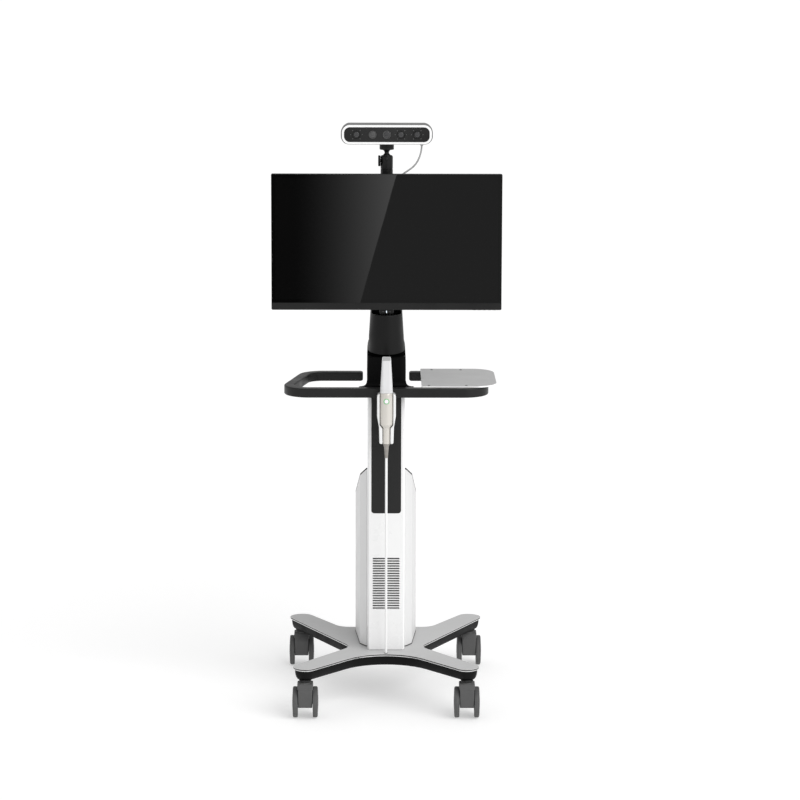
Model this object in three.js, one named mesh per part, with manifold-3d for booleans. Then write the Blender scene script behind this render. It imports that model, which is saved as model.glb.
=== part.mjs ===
// A mobile intraoral scanning cart: castor base, tower, handrail and tray, monitor,
// scanner bar on a ball head, and the intraoral handpiece standing in its cradle.
// Millimetres, +Z up, the front faces -Y. The origin is on the floor, under the cart's middle.

import * as THREE from 'three';
import { mergeVertices } from 'three/addons/utils/BufferGeometryUtils.js';
import Module from 'manifold-3d';

const wasm = await Module();
wasm.setup();

// ---------------------------------------------------------------- driving dimensions

const GAP = 0.3; // clearance between two pieces that rest on each other

const WHEEL_RADIUS = 36.5;
const WHEEL_WIDTH = 13.4;
const CASTOR_WIDTH = 61.2; // over both wheels
const CASTOR_TRAIL = 10; // the axle runs this far behind the stem
const FORK_WIDTH = 33.8;
const FORK_TOP = 85.2;
const AXLE_RADIUS = 4;
const STEM_RADIUS = 6;
const FRONT_AXLE = { x: 189.5, y: -239 };
const REAR_AXLE = { x: 207.5, y: 239 };

const FRAME_BOTTOM = 93;
const FRAME_TOP = 116;
const TRIM_TOP = 118.4;
const BASE_TOP = 122;
const SOCKET_TOP = 110.5; // inside height of the castor sockets
const POCKET_TOP = 109; // inside height of the pocket under the tower
const OUTLET_RADIUS = 4.3;

const COLUMN_HALF = 44.2;
const COLUMN_FRONT = -79.7;
const COLUMN_BACK = 60;
const COLUMN_TOP = 740.7;
const COLUMN_WALL = 4;
const PANEL_HALF = 41.25;
const PANEL_FRONT = -88;
const INLAY_HALF = 35;
const INLAY_BOTTOM = 456;
const VENT = { count: 21, bottom: 223, pitch: 6.05, height: 3, half: 32 };

const HOUSING_BACK = 124;
const HOUSING_WALL = 3;
const SLOPE_TOP = 560; // height of the sloping top at the housing's front inner corner
const SLOPE_BACK = 0.512; // fall of that top per millimetre towards the back
const SLOPE_OUT = 0.4; // and outwards

const RAIL_BOTTOM = 741;
const RAIL_TOP = 761;
const RAIL_WIDTH = 24;
const TRAY_THICK = 3.7;
const HEAD_HALF = 45.8;
const HEAD_TOP = 884;

const COVER_BOTTOM = 836;
const COVER_TOP = 929;
const COVER_HALF = 43.3; // at the bottom; the cover narrows upwards
const COVER_TAPER = 0.859;
const COVER_SHOULDER = -43; // where its flat sides turn into the curved front
const COVER_BULGE = 42; // how far the front curves forward of that
const COVER_BACK = 29;
const COVER_WALL = 3;

const SCREEN = { width: 540, bottom: 941, top: 1261.5, front: -72, back: -58, chin: 16.4 };
const TILT_PIVOT = { y: -12, z: 1100 };

const BALL = { y: -22, z: 1296, radius: 10 };
const HEAD_RADIUS = 14.5; // ball head's housing
const BAR = { width: 215, bottom: 1327, top: 1374, front: -42, back: 0 };
const WINDOW = { width: 199.5, height: 34.6 };
const LENSES = [
  { name: 'lens_1', x: -71, radius: 8.8 },
  { name: 'lens_2', x: -33, radius: 9.4 },
  { name: 'lens_3', x: 0, radius: 10.5 },
  { name: 'lens_4', x: 33, radius: 8.8 },
  { name: 'lens_5', x: 71, radius: 8.8 },
];

const HANDPIECE_Y = -136.8;
const CRADLE = { bottom: 634, top: 753.5, step: 674, back: -118.4, front: -144 };
const BUTTON = { z: 737, radius: 4.8 };
const LEAD_RADIUS = 2.95; // handpiece lead
const BAR_LEAD_RADIUS = 2.05; // scanner bar's lead

// The handpiece's lead, from inside its strain relief down to its outlet in the base.
const HANDPIECE_LEAD = [
  [0, -136.8, 612],
  [0, -136.8, 600],
  [0, -136.7, 580],
  [0, -136.4, 555],
  [0, -135.7, 525],
  [0, -134.5, 490],
  [0, -132.7, 450],
  [0, -130.2, 410],
  [0, -127.6, 370],
  [0, -124.9, 330],
  [0, -122.5, 290],
  [0, -120.2, 250],
  [0, -118.7, 210],
  [0, -117.8, 175],
  [0, -117.2, 148],
  [0, -117, 130],
  [0, -117, 113],
];

// The scanner bar's lead, from inside the bar round to its socket on the ball head's base.
const BAR_LEAD = [
  [82, -22, 1333],
  [82, -22, 1326],
  [81.7, -22, 1318],
  [80.6, -22, 1310],
  [78.6, -22, 1301.5],
  [75.6, -22, 1293],
  [71.6, -22, 1285],
  [66.4, -22, 1277.7],
  [60, -22, 1271.3],
  [52.8, -22, 1265.9],
  [45.4, -22, 1261],
  [38.4, -22, 1256],
  [31.8, -22, 1251.2],
  [26, -22, 1248.7],
  [21, -22, 1248],
  [15, -22, 1248],
];

// ---------------------------------------------------------------- materials

function finish(color, roughness, metalness = 0) {
  return new THREE.MeshStandardMaterial({ color, roughness, metalness });
}

const whiteGloss = finish(0xf0f0f0, 0.3);
const whiteSatin = finish(0xe6e6e6, 0.5);
const lightGrey = finish(0xbfbfbf, 0.45);
const trayMetal = finish(0xb4b4b4, 0.4, 0.6);
const blackSatin = finish(0x26262a, 0.5);
const blackFrame = finish(0x222224, 0.55);
const castorGrey = finish(0x5a5a5a, 0.6);
const tyreGrey = finish(0x4c4c4c, 0.7);
const steel = finish(0x9a9a9c, 0.35, 1);
const darkGlass = finish(0x101012, 0.08);
const champagne = finish(0xd0cac0, 0.35, 0.3);
const reliefGrey = finish(0x93908b, 0.6);
const leadWhite = finish(0xf2f2f2, 0.5);
const innerGrey = finish(0x3c4044, 0.6);

// ---------------------------------------------------------------- geometry helpers

function block(x0, x1, y0, y1, z0, z1) {
  const box = new THREE.BoxGeometry(x1 - x0, y1 - y0, z1 - z0);
  return box.translate((x0 + x1) / 2, (y0 + y1) / 2, (z0 + z1) / 2);
}

// A cylinder, or a cone with endRadius, between two points.
function rod(radius, from, to, sides = 20, endRadius = radius) {
  const start = new THREE.Vector3(...from);
  const along = new THREE.Vector3(...to).sub(start);
  const length = along.length();
  const cylinder = new THREE.CylinderGeometry(endRadius, radius, length, sides);
  cylinder.translate(0, length / 2, 0);
  const turn = new THREE.Quaternion().setFromUnitVectors(new THREE.Vector3(0, 1, 0), along.normalize());
  return cylinder.applyQuaternion(turn).translate(start.x, start.y, start.z);
}

// A profile of [radius, height] pairs turned about the vertical through (x, y).
function turned(profile, x, y, sides = 24) {
  const points = profile.map(([radius, height]) => new THREE.Vector2(radius, height));
  const lathe = new THREE.LatheGeometry(points, sides);
  return lathe.rotateX(Math.PI / 2).translate(x, y, 0);
}

// A closed outline through [x, y, radius] corners, each rounded with its own radius.
function rounded(corners, outline = new THREE.Shape()) {
  const at = ([x, y]) => new THREE.Vector2(x, y);
  corners.forEach((corner, i) => {
    const point = at(corner);
    const radius = corner[2];
    const back = at(corners.at(i - 1)).sub(point).normalize();
    const ahead = at(corners[(i + 1) % corners.length]).sub(point).normalize();
    if (!radius) {
      if (i === 0) outline.moveTo(point.x, point.y);
      else outline.lineTo(point.x, point.y);
      return;
    }
    const half = Math.acos(back.dot(ahead)) / 2;
    const start = point.clone().addScaledVector(back, radius / Math.tan(half));
    const end = point.clone().addScaledVector(ahead, radius / Math.tan(half));
    const bisector = back.clone().add(ahead).normalize();
    const centre = point.clone().addScaledVector(bisector, radius / Math.sin(half));
    const clockwise = back.x * ahead.y - back.y * ahead.x > 0;
    const angleOf = (p) => Math.atan2(p.y - centre.y, p.x - centre.x);
    outline.absarc(centre.x, centre.y, radius, angleOf(start), angleOf(end), clockwise);
  });
  outline.closePath();
  return outline;
}

function rectangle(x0, x1, y0, y1, radius = 0) {
  return [[x0, y0, radius], [x1, y0, radius], [x1, y1, radius], [x0, y1, radius]];
}

// The same corners with every edge moved inwards by a distance.
function inset(corners, distance) {
  const count = corners.length;
  const area = corners.reduce((sum, [x, y], i) => {
    const [nextX, nextY] = corners[(i + 1) % count];
    return sum + x * nextY - nextX * y;
  }, 0);
  const side = Math.sign(area);
  return corners.map(([x, y, radius], i) => {
    const [px, py] = corners.at(i - 1);
    const [nx, ny] = corners[(i + 1) % count];
    const arriving = new THREE.Vector2(x - px, y - py).normalize();
    const leaving = new THREE.Vector2(nx - x, ny - y).normalize();
    const cross = arriving.x * leaving.y - arriving.y * leaving.x;
    const shift = (side * distance) / cross;
    const convex = cross * side > 0;
    return [
      x + (leaving.x - arriving.x) * shift,
      y + (leaving.y - arriving.y) * shift,
      radius + (convex ? -distance : distance),
    ];
  });
}

function mirrored(corners) {
  const other = corners.filter(([x]) => x !== 0).map(([x, y, radius]) => [-x, y, radius]);
  return corners.concat(other.reverse());
}

// An outline pushed up along Z from z0 to z1, with its rims rounded by the bevel.
function pushed(outline, z0, z1, { bevel = 0, segments = 3 } = {}) {
  const solidOutline = new THREE.ExtrudeGeometry(outline, {
    depth: z1 - z0 - 2 * bevel,
    curveSegments: segments,
    bevelEnabled: bevel > 0,
    bevelThickness: bevel,
    bevelSize: bevel,
    bevelOffset: -bevel,
    bevelSegments: 1,
  });
  return solidOutline.translate(0, 0, z0 + bevel);
}

// The same for an outline drawn in X and Z, seen from the front, between two Y planes.
function fromFront(outline, y0, y1, options) {
  return pushed(outline, -y1, -y0, options).rotateX(Math.PI / 2);
}

// The same for an outline drawn in Y and Z, seen from the right, between two X planes.
function fromSide(outline, x0, x1, options) {
  const turn = new THREE.Matrix4().makeBasis(
    new THREE.Vector3(0, 1, 0), new THREE.Vector3(0, 0, 1), new THREE.Vector3(1, 0, 0));
  return pushed(outline, x0, x1, options).applyMatrix4(turn);
}

// Moves every vertex by a function of its place.
function reshaped(geometry, move) {
  const position = geometry.attributes.position;
  const point = new THREE.Vector3();
  for (let i = 0; i < position.count; i += 1) {
    point.fromBufferAttribute(position, i);
    move(point);
    position.setXYZ(i, point.x, point.y, point.z);
  }
  return geometry;
}

// A round tube along hand-set route points.
function lead(route, radius, steps) {
  const curve = new THREE.CatmullRomCurve3(route.map((point) => new THREE.Vector3(...point)));
  const section = new THREE.Shape();
  section.absarc(0, 0, radius, 0, 2 * Math.PI);
  return new THREE.ExtrudeGeometry(section, { extrudePath: curve, steps, curveSegments: 4 });
}

function toSolid(geometry) {
  const bare = geometry.clone();
  bare.deleteAttribute('normal');
  bare.deleteAttribute('uv');
  const merged = mergeVertices(bare, 1e-4);
  return new wasm.Manifold(new wasm.Mesh({
    numProp: 3,
    vertProperties: new Float32Array(merged.attributes.position.array),
    triVerts: new Uint32Array(merged.index.array),
  }));
}

function toGeometry(solid) {
  const { vertProperties, triVerts } = solid.getMesh();
  const geometry = new THREE.BufferGeometry();
  geometry.setAttribute('position', new THREE.BufferAttribute(vertProperties, 3));
  geometry.setIndex(new THREE.BufferAttribute(triVerts, 1));
  geometry.computeVertexNormals();
  return geometry;
}

function joined(...geometries) {
  return toGeometry(geometries.map(toSolid).reduce((all, next) => all.add(next)));
}

function cut(geometry, ...tools) {
  return toGeometry(tools.map(toSolid).reduce((rest, tool) => rest.subtract(tool), toSolid(geometry)));
}

function common(...geometries) {
  return toGeometry(geometries.map(toSolid).reduce((all, next) => all.intersect(next)));
}

const cart = new THREE.Group();

function place(name, geometry, material, group = cart) {
  const mesh = new THREE.Mesh(geometry, material);
  mesh.name = name;
  group.add(mesh);
}

// ---------------------------------------------------------------- base

// One half of the four-armed plan: front middle, front arm, side notch, rear arm, rear middle.
const BASE_CORNERS = mirrored([
  [0, -66, 116],
  [-185.5, -278, 26],
  [-227.7, -244.2, 26],
  [-82.6, -53.8, 40],
  [-244.4, 245.7, 27],
  [-197, 275.5, 27],
  [-110, 135, 40],
]);
const STEMS = [FRONT_AXLE, REAR_AXLE].flatMap(({ x, y }) => [
  { x: -x, y: y - CASTOR_TRAIL },
  { x, y: y - CASTOR_TRAIL },
]);
const LEAD_OUTLET = HANDPIECE_LEAD.at(-1);

function outletHole(radius, z0, z1) {
  const [x, y] = LEAD_OUTLET;
  return rod(radius, [x, y, z0], [x, y, z1], 12);
}

function buildBase() {
  const under = FRAME_BOTTOM - 16;
  const sockets = STEMS.map(({ x, y }) => (
    rod(STEM_RADIUS + 2 * GAP, [x, y, under], [x, y, SOCKET_TOP], 12)));
  const pocket = pushed(rounded(rectangle(-62, 62, -94, 116, 16)), under, POCKET_TOP, { segments: 1 });
  const tall = pushed(rounded(inset(BASE_CORNERS, 4)), FRAME_BOTTOM, FRAME_BOTTOM + 40, {
    bevel: 7, segments: 2,
  });
  const above = block(-300, 300, -300, 300, FRAME_TOP, 200);
  const frame = cut(tall, above, pocket, ...sockets, outletHole(OUTLET_RADIUS, POCKET_TOP + 3, 130));
  place('base_frame', frame, blackFrame);

  const trim = pushed(rounded(inset(BASE_CORNERS, 1.5)), FRAME_TOP + GAP, TRIM_TOP);
  place('base_trim', cut(trim, outletHole(OUTLET_RADIUS, POCKET_TOP + 3, 130)), lightGrey);

  const plate = pushed(rounded(BASE_CORNERS), TRIM_TOP + GAP, BASE_TOP);
  place('base_top_plate', cut(plate, outletHole(OUTLET_RADIUS, POCKET_TOP + 3, 130)), lightGrey);

  const [x, y] = LEAD_OUTLET;
  const lip = BASE_TOP + GAP;
  const ring = [
    [3.3, lip - 5.3], [4, lip - 5.3], [4, lip], [5, lip], [4.4, lip + 0.9], [3.3, lip + 0.9],
    [3.3, lip - 5.3],
  ];
  place('lead_grommet', turned(ring, x, y, 12), leadWhite);
}

// ---------------------------------------------------------------- castors

// Side view of the fork's hood about the axle, which is the outline's origin.
const HOOD_OUTLINE = [
  [-32, -8.5, 6],
  [-33, 34, 18],
  [-22, FORK_TOP - WHEEL_RADIUS, 5],
  [10, FORK_TOP - WHEEL_RADIUS, 10],
  [33, 26, 16],
  [32, -8.5, 6],
];

function fork() {
  const half = FORK_WIDTH / 2;
  const stemZ = FORK_TOP - WHEEL_RADIUS;
  const hood = fromSide(rounded(HOOD_OUTLINE), -half, half, { bevel: 1.6, segments: 1 });
  const crown = common(
    fromSide(rounded(inset(HOOD_OUTLINE, -0.6)), -half - 1.9, half + 1.9, { bevel: 1.6, segments: 1 }),
    block(-30, 30, -60, 60, WHEEL_RADIUS + 1.5, stemZ + 5));
  const hollow = block(-half + 4, half - 4, -27, 27, -20, 26);
  const bore = rod(AXLE_RADIUS + GAP, [-40, 0, 0], [40, 0, 0], 8);
  const stem = turned([
    [0, stemZ - 6], [12.5, stemZ - 6], [12.5, stemZ + 3], [11, stemZ + 4.2], [11, stemZ + 7.2],
    [STEM_RADIUS, stemZ + 7.2], [STEM_RADIUS, stemZ + 22], [0, stemZ + 22],
  ], 0, -CASTOR_TRAIL, 12);
  return cut(joined(hood, crown, stem), hollow, bore);
}

// Wheel profile: radius, then distance out from the fork.
const WHEEL_PROFILE = [
  [AXLE_RADIUS + 0.4, 0],
  [WHEEL_RADIUS, 0.8],
  [WHEEL_RADIUS, 9.6],
  [33.5, 12],
  [13, WHEEL_WIDTH],
  [AXLE_RADIUS + 0.4, WHEEL_WIDTH],
  [AXLE_RADIUS + 0.4, 0],
];

function wheel(side) {
  const inner = CASTOR_WIDTH / 2 - WHEEL_WIDTH;
  const geometry = turned(WHEEL_PROFILE, 0, 0, 20).rotateY((side * Math.PI) / 2);
  return geometry.translate(side * inner, 0, 0);
}

function buildCastor(name, x, y) {
  const castor = new THREE.Group();
  castor.position.set(x, y, WHEEL_RADIUS);
  cart.add(castor);
  const half = CASTOR_WIDTH / 2 - 1;
  place(`${name}_fork`, fork(), castorGrey, castor);
  place(`${name}_axle`, rod(AXLE_RADIUS, [-half, 0, 0], [half, 0, 0], 8), steel, castor);
  place(`${name}_wheel_left`, wheel(-1), tyreGrey, castor);
  place(`${name}_wheel_right`, wheel(1), tyreGrey, castor);
}

function buildCastors() {
  buildCastor('castor_front_left', -FRONT_AXLE.x, FRONT_AXLE.y);
  buildCastor('castor_front_right', FRONT_AXLE.x, FRONT_AXLE.y);
  buildCastor('castor_rear_left', -REAR_AXLE.x, REAR_AXLE.y);
  buildCastor('castor_rear_right', REAR_AXLE.x, REAR_AXLE.y);
}

// ---------------------------------------------------------------- tower

const TOWER_BOTTOM = BASE_TOP + GAP;

// Everything above the housings' sloping top, for a piece that starts at |x| = inner.
function aboveSlope(side, inner, drop = 0) {
  const front = -54;
  const low = SLOPE_TOP - drop;
  const fall = SLOPE_BACK * 200;
  const roof = 800;
  const wedge = fromSide(rounded([
    [front, low, 0], [front + 200, low - fall, 0], [front + 200, roof, 0], [front - 40, roof, 0],
    [front - 40, low + SLOPE_BACK * 40, 0],
  ]), -120, 120);
  return reshaped(wedge, (point) => {
    if (point.z < roof - 10) point.z -= SLOPE_OUT * (side * point.x - inner);
  });
}

function buildColumn() {
  const outer = rounded(rectangle(-COLUMN_HALF, COLUMN_HALF, COLUMN_FRONT, COLUMN_BACK, 5));
  const inner = COLUMN_HALF - COLUMN_WALL;
  outer.holes.push(rounded(
    rectangle(-inner, inner, COLUMN_FRONT + COLUMN_WALL, COLUMN_BACK - COLUMN_WALL, 2), new THREE.Path()));
  const ventTop = VENT.bottom + VENT.count * VENT.pitch;
  const airIn = block(-33, 33, COLUMN_FRONT - 5, COLUMN_FRONT + 10, VENT.bottom - 6, ventTop + 3);
  const airOut = block(-34, 34, COLUMN_BACK - 10, COLUMN_BACK + 5, 150, 290);
  const tube = pushed(outer, TOWER_BOTTOM, COLUMN_TOP, { segments: 1 });
  place('column_tube', cut(tube, airIn, airOut), whiteSatin);
}

function inlayOutline(half, bottom, top, radius) {
  return rounded([[-half, bottom, radius], [half, bottom, radius], [half, top, 0], [-half, top, 0]]);
}

function buildFrontPanel() {
  const edge = rectangle(-PANEL_HALF, PANEL_HALF, TOWER_BOTTOM, COLUMN_TOP, 1.5);
  const board = fromFront(rounded(edge), PANEL_FRONT, COLUMN_FRONT - GAP, { segments: 1 });
  const recessOutline = inlayOutline(INLAY_HALF + GAP, INLAY_BOTTOM - GAP, COLUMN_TOP + 20, 7.3);
  const recess = fromFront(recessOutline, PANEL_FRONT - 2, PANEL_FRONT + 2.1);
  const slots = Array.from({ length: VENT.count }, (_, i) => {
    const z = VENT.bottom + i * VENT.pitch;
    return block(-VENT.half, VENT.half, -100, -70, z, z + VENT.height);
  });
  place('front_panel', cut(board, recess, ...slots), whiteGloss);
  const inlayFront = inlayOutline(INLAY_HALF, INLAY_BOTTOM, COLUMN_TOP, 7);
  place('column_inlay', fromFront(inlayFront, PANEL_FRONT - 0.3, PANEL_FRONT + 1.8), blackSatin);
}

// Plan of the right-hand housing: it wraps round the column and widens towards the back.
const HOUSING_PLAN = [
  [44.6, -54, 0],
  [48, -53.5, 2],
  [62, -29, 3],
  [73.2, 94, 8],
  [72.2, HOUSING_BACK, 8],
  [44.6, HOUSING_BACK, 0],
];
const HOUSING_CAVITY = [
  [30, -46, 0],
  [47, -46, 0],
  [59, -27, 0],
  [69, 92, 0],
  [68, HOUSING_BACK - HOUSING_WALL, 0],
  [30, HOUSING_BACK - HOUSING_WALL, 0],
];

function onSide(corners, side) {
  return corners.map(([x, y, radius]) => [side * x, y, radius]);
}

function buildSideHousing(name, side) {
  const shell = pushed(rounded(onSide(HOUSING_PLAN, side)), TOWER_BOTTOM, 700, { segments: 2 });
  const room = pushed(rounded(onSide(HOUSING_CAVITY, side)), TOWER_BOTTOM + 4, 700);
  const cavity = cut(room, aboveSlope(side, 44.6, 5));
  place(name, cut(shell, aboveSlope(side, 44.6), cavity), whiteSatin);
}

const FAN = { y: 108.3, z: 240, half: 40, depth: 24.8 };
const INLET = { x: -20, z: 160, halfWidth: 14, halfHeight: 10 };
const SWITCH = { x: 18, z: 160, halfWidth: 6, halfHeight: 9.3, y: 118 };

function buildRearCover() {
  const outer = pushed(rounded([[-44, COLUMN_BACK + GAP, 0], [44, COLUMN_BACK + GAP, 0],
    [44, HOUSING_BACK, 2], [-44, HOUSING_BACK, 2]]), TOWER_BOTTOM, 700, { segments: 2 });
  const inner = block(-41, 41, 50, HOUSING_BACK - HOUSING_WALL, TOWER_BOTTOM + 4, 700);
  const cavity = cut(inner, aboveSlope(0, 0, 5));
  const slots = Array.from({ length: 8 }, (_, i) => {
    const z = FAN.z - 35 + i * 9;
    return block(-31, 31, 110, 130, z, z + 5);
  });
  const inletHole = block(INLET.x - INLET.halfWidth - GAP, INLET.x + INLET.halfWidth + GAP, 110, 130,
    INLET.z - INLET.halfHeight - GAP, INLET.z + INLET.halfHeight + GAP);
  const switchHole = block(SWITCH.x - SWITCH.halfWidth, SWITCH.x + SWITCH.halfWidth, 110, 130,
    SWITCH.z - SWITCH.halfHeight, SWITCH.z + SWITCH.halfHeight);
  place('rear_cover', cut(outer, aboveSlope(0, 0), cavity, inletHole, switchHole, ...slots), whiteSatin);
}

function buildElectronics() {
  const computerPlan = rounded(rectangle(-33, 33, -68, 36, 4));
  place('computer', pushed(computerPlan, TOWER_BOTTOM + GAP, 340, { segments: 1 }), innerGrey);
  const supply = pushed(rounded(rectangle(-30, 30, COLUMN_BACK + GAP, 90, 3)), 300, 430, { segments: 1 });
  place('power_supply', supply, innerGrey);

  const inletBody = block(INLET.x - INLET.halfWidth, INLET.x + INLET.halfWidth, 104, 125,
    INLET.z - INLET.halfHeight, INLET.z + INLET.halfHeight);
  const inletMouth = block(INLET.x - 11.5, INLET.x + 11.5, 110, 130, INLET.z - 7.5, INLET.z + 7.5);
  const pins = [-7, 0, 7].map((x, i) => block(INLET.x + x - 1, INLET.x + x + 1, 109, 122,
    INLET.z - 2 + (i === 1 ? 3 : 0), INLET.z + 2 + (i === 1 ? 3 : 0)));
  place('mains_inlet', joined(cut(inletBody, inletMouth), ...pins), blackSatin);

  const rocker = new THREE.Shape([[-3, -5], [2, -8], [8, -8], [5.5, 0], [8, 8], [2, 8], [-3, 5]]
    .map(([y, z]) => new THREE.Vector2(y, z)));
  const halfWidth = SWITCH.halfWidth - GAP;
  const cap = fromSide(rocker, -halfWidth, halfWidth).rotateX(THREE.MathUtils.degToRad(-8));
  place('power_switch', cap.translate(SWITCH.x, SWITCH.y, SWITCH.z), blackSatin);
}

function buildFan() {
  const square = rounded(rectangle(-FAN.half + GAP, FAN.half - GAP, FAN.z - FAN.half, FAN.z + FAN.half));
  const duct = new THREE.Path();
  duct.absarc(0, FAN.z, 37, 0, 2 * Math.PI);
  square.holes.push(duct);
  const front = FAN.y - FAN.depth / 2;
  const ring = fromFront(square, front, FAN.y + FAN.depth / 2, { segments: 8 });
  const arms = [45, 135].map((angle) => {
    const arm = block(-38.5, 38.5, front, front + 3, -2, 2);
    return arm.rotateY(THREE.MathUtils.degToRad(angle)).translate(0, 0, FAN.z);
  });
  const bearing = rod(14, [0, front, FAN.z], [0, front + 3, FAN.z], 12);
  const shaft = rod(2, [0, front + 1, FAN.z], [0, front + 12, FAN.z], 8);
  place('fan_frame', joined(ring, bearing, shaft, ...arms), innerGrey);

  const boss = rod(14, [0, front + 4, 0], [0, front + 20, 0], 14);
  const hub = cut(boss, rod(2.6, [0, front, 0], [0, front + 14, 0], 8));
  const blades = Array.from({ length: 7 }, (_, i) => {
    const blade = block(-7.5, 7.5, -0.7, 0.7, 12, 34.5).rotateZ(THREE.MathUtils.degToRad(35));
    return blade.translate(0, front + 12, 0).rotateY((i * 2 * Math.PI) / 7);
  });
  place('fan_rotor', joined(hub, ...blades).translate(0, 0, FAN.z), blackSatin);
}

// ---------------------------------------------------------------- handrail, tray, head and neck

const RAIL_CORNERS = [
  [-256.9, -118, 60],
  [256.9, -118, 60],
  [199, 129, 60],
  [-199, 129, 60],
];

// Plan of the web between the front bar and the column head.
const BOSS_CORNERS = mirrored([[-62, -97, 0], [-HEAD_HALF - 1, -84.5, 12]]);

function buildHandrail() {
  const loop = rounded(RAIL_CORNERS);
  loop.holes.push(rounded(inset(RAIL_CORNERS, RAIL_WIDTH), new THREE.Path()));
  const bar = pushed(loop, RAIL_BOTTOM - 1.5, RAIL_TOP, { bevel: 2.6 });
  const rearGap = block(-55.5, 55.5, 90, 140, RAIL_BOTTOM - 5, RAIL_TOP + 5);
  const boss = pushed(rounded(BOSS_CORNERS), RAIL_BOTTOM + GAP, RAIL_TOP - 4);
  place('handrail', joined(cut(bar, rearGap), boss), blackSatin);

  const outline = rounded([[83, -102, 2], [261, -102, 52], [259, 136, 52], [83, 136, 2]]);
  place('tray', pushed(outline, RAIL_TOP + GAP, RAIL_TOP + GAP + TRAY_THICK, { segments: 4 }), trayMetal);
}

const SHOULDER = 864; // the neck cover closes round the head above this height
const COVER_SPLIT = -44; // in front of this plane the cover hangs down over the head

function buildColumnHead() {
  const frontView = rounded([
    [-HEAD_HALF, RAIL_BOTTOM, 0], [HEAD_HALF, RAIL_BOTTOM, 0],
    [HEAD_HALF, SHOULDER - 20, 14], [33, SHOULDER - 1, 6], [33, HEAD_TOP, 0],
    [-33, HEAD_TOP, 0], [-33, SHOULDER - 1, 6], [-HEAD_HALF, SHOULDER - 20, 14],
  ]);
  const plan = rounded(rectangle(-HEAD_HALF, HEAD_HALF, -84, 58, 12));
  const body = common(
    fromFront(frontView, -90, 70, { segments: 2 }), pushed(plan, RAIL_BOTTOM, HEAD_TOP, { segments: 2 }));
  const frontStep = block(-60, 60, -100, COVER_SPLIT + GAP, COVER_BOTTOM - 6, 900);
  const backStep = block(-60, 60, 22, 100, SHOULDER - 1, 900);
  const slot = block(-12.5, 12.5, -100, -66, RAIL_BOTTOM + 4, 900);
  const cavity = block(-36, 36, -56, 50, 700, 820);
  place('column_head', cut(body, frontStep, backStep, slot, cavity), blackFrame);
}

function coverSection(wall, outline) {
  const half = COVER_HALF - wall;
  outline.moveTo(half, COVER_SHOULDER);
  outline.lineTo(half, COVER_BACK - wall);
  outline.lineTo(-half, COVER_BACK - wall);
  outline.lineTo(-half, COVER_SHOULDER);
  outline.absellipse(0, COVER_SHOULDER, half, COVER_BULGE - wall, Math.PI, 2 * Math.PI);
  return outline;
}

function buildNeck() {
  const outer = coverSection(0, new THREE.Shape());
  outer.holes.push(coverSection(COVER_WALL, new THREE.Path()));
  const cover = reshaped(pushed(outer, COVER_BOTTOM, COVER_TOP, { segments: 7 }), (point) => {
    const rise = (point.z - COVER_BOTTOM) / (COVER_TOP - COVER_BOTTOM);
    point.x *= 1 + (COVER_TAPER - 1) * rise;
  });
  const aroundHead = block(-60, 60, COVER_SPLIT, 60, COVER_BOTTOM - 5, SHOULDER);
  place('neck_cover', cut(cover, aroundHead), blackSatin);

  const foot = block(-26, 26, -34, 18, HEAD_TOP + GAP, HEAD_TOP + 8);
  const upright = block(-16, 16, -4, 14, HEAD_TOP + 4, TILT_PIVOT.z + 8);
  const web = block(-16, 16, TILT_PIVOT.y, 4, TILT_PIVOT.z - 8, TILT_PIVOT.z + 8);
  const barrel = rod(8, [-24, TILT_PIVOT.y, TILT_PIVOT.z], [24, TILT_PIVOT.y, TILT_PIVOT.z], 12);
  const pin = rod(4, [-36, TILT_PIVOT.y, TILT_PIVOT.z], [36, TILT_PIVOT.y, TILT_PIVOT.z], 10);
  place('neck_post', joined(foot, upright, web, barrel, pin), steel);
}

// ---------------------------------------------------------------- monitor

const BULGE_MIDDLE = 1078; // height of the middle of the monitor's raised back

function buildMonitor() {
  const half = SCREEN.width / 2;
  const chinTop = SCREEN.bottom + SCREEN.chin;
  const rim = fromFront(rounded(rectangle(-half, half, SCREEN.bottom, SCREEN.top, 3)),
    SCREEN.front + 2.3, SCREEN.back, { segments: 1 });
  const chinOutline = rounded([
    [-half, SCREEN.bottom, 3], [half, SCREEN.bottom, 3], [half, chinTop, 0], [-half, chinTop, 0],
  ]);
  const chin = fromFront(chinOutline, SCREEN.front, SCREEN.front + 4, { segments: 1 });
  const bulge = reshaped(
    fromFront(rounded(rectangle(-205, 205, 966, 1190, 20)), SCREEN.back - 1, -34, { segments: 1 }),
    (point) => {
      const back = point.y > -40 ? 0.9 : 1;
      point.x *= back;
      point.z = BULGE_MIDDLE + (point.z - BULGE_MIDDLE) * back;
    });
  const panelRoom = block(-262, 262, -75, -62, 962, 1254);
  const boardRoom = block(-170, 170, -65, -38, 990, 1165);
  place('monitor_housing', cut(joined(rim, chin, bulge), panelRoom, boardRoom), blackSatin);
  place('lcd_panel', block(-261.5, 261.5, -69.6, -64, 962.5, 1253.5), innerGrey);
  const glass = block(-half + 0.4, half - 0.4, SCREEN.front, SCREEN.front + 2, chinTop + GAP, SCREEN.top - GAP);
  place('screen_glass', glass, darkGlass);

  const { y, z } = TILT_PIVOT;
  const plate = fromFront(rounded(rectangle(-50, 50, z - 50, z + 50, 6)), -33.7, -29.7, { segments: 1 });
  const ears = [-1, 1].map((side) => fromSide(
    rounded([[-31, z - 16, 0], [y, z - 9, 8.9], [y + 9, z, 8], [y, z + 9, 8.9], [-31, z + 16, 0]]),
    side * 28 - 3, side * 28 + 3, { segments: 1 }));
  const pinHole = rod(4 + 2 * GAP, [-50, y, z], [50, y, z], 10);
  place('vesa_plate', cut(joined(plate, ...ears), pinHole), steel);
}

// ---------------------------------------------------------------- ball head and scanner bar

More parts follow.
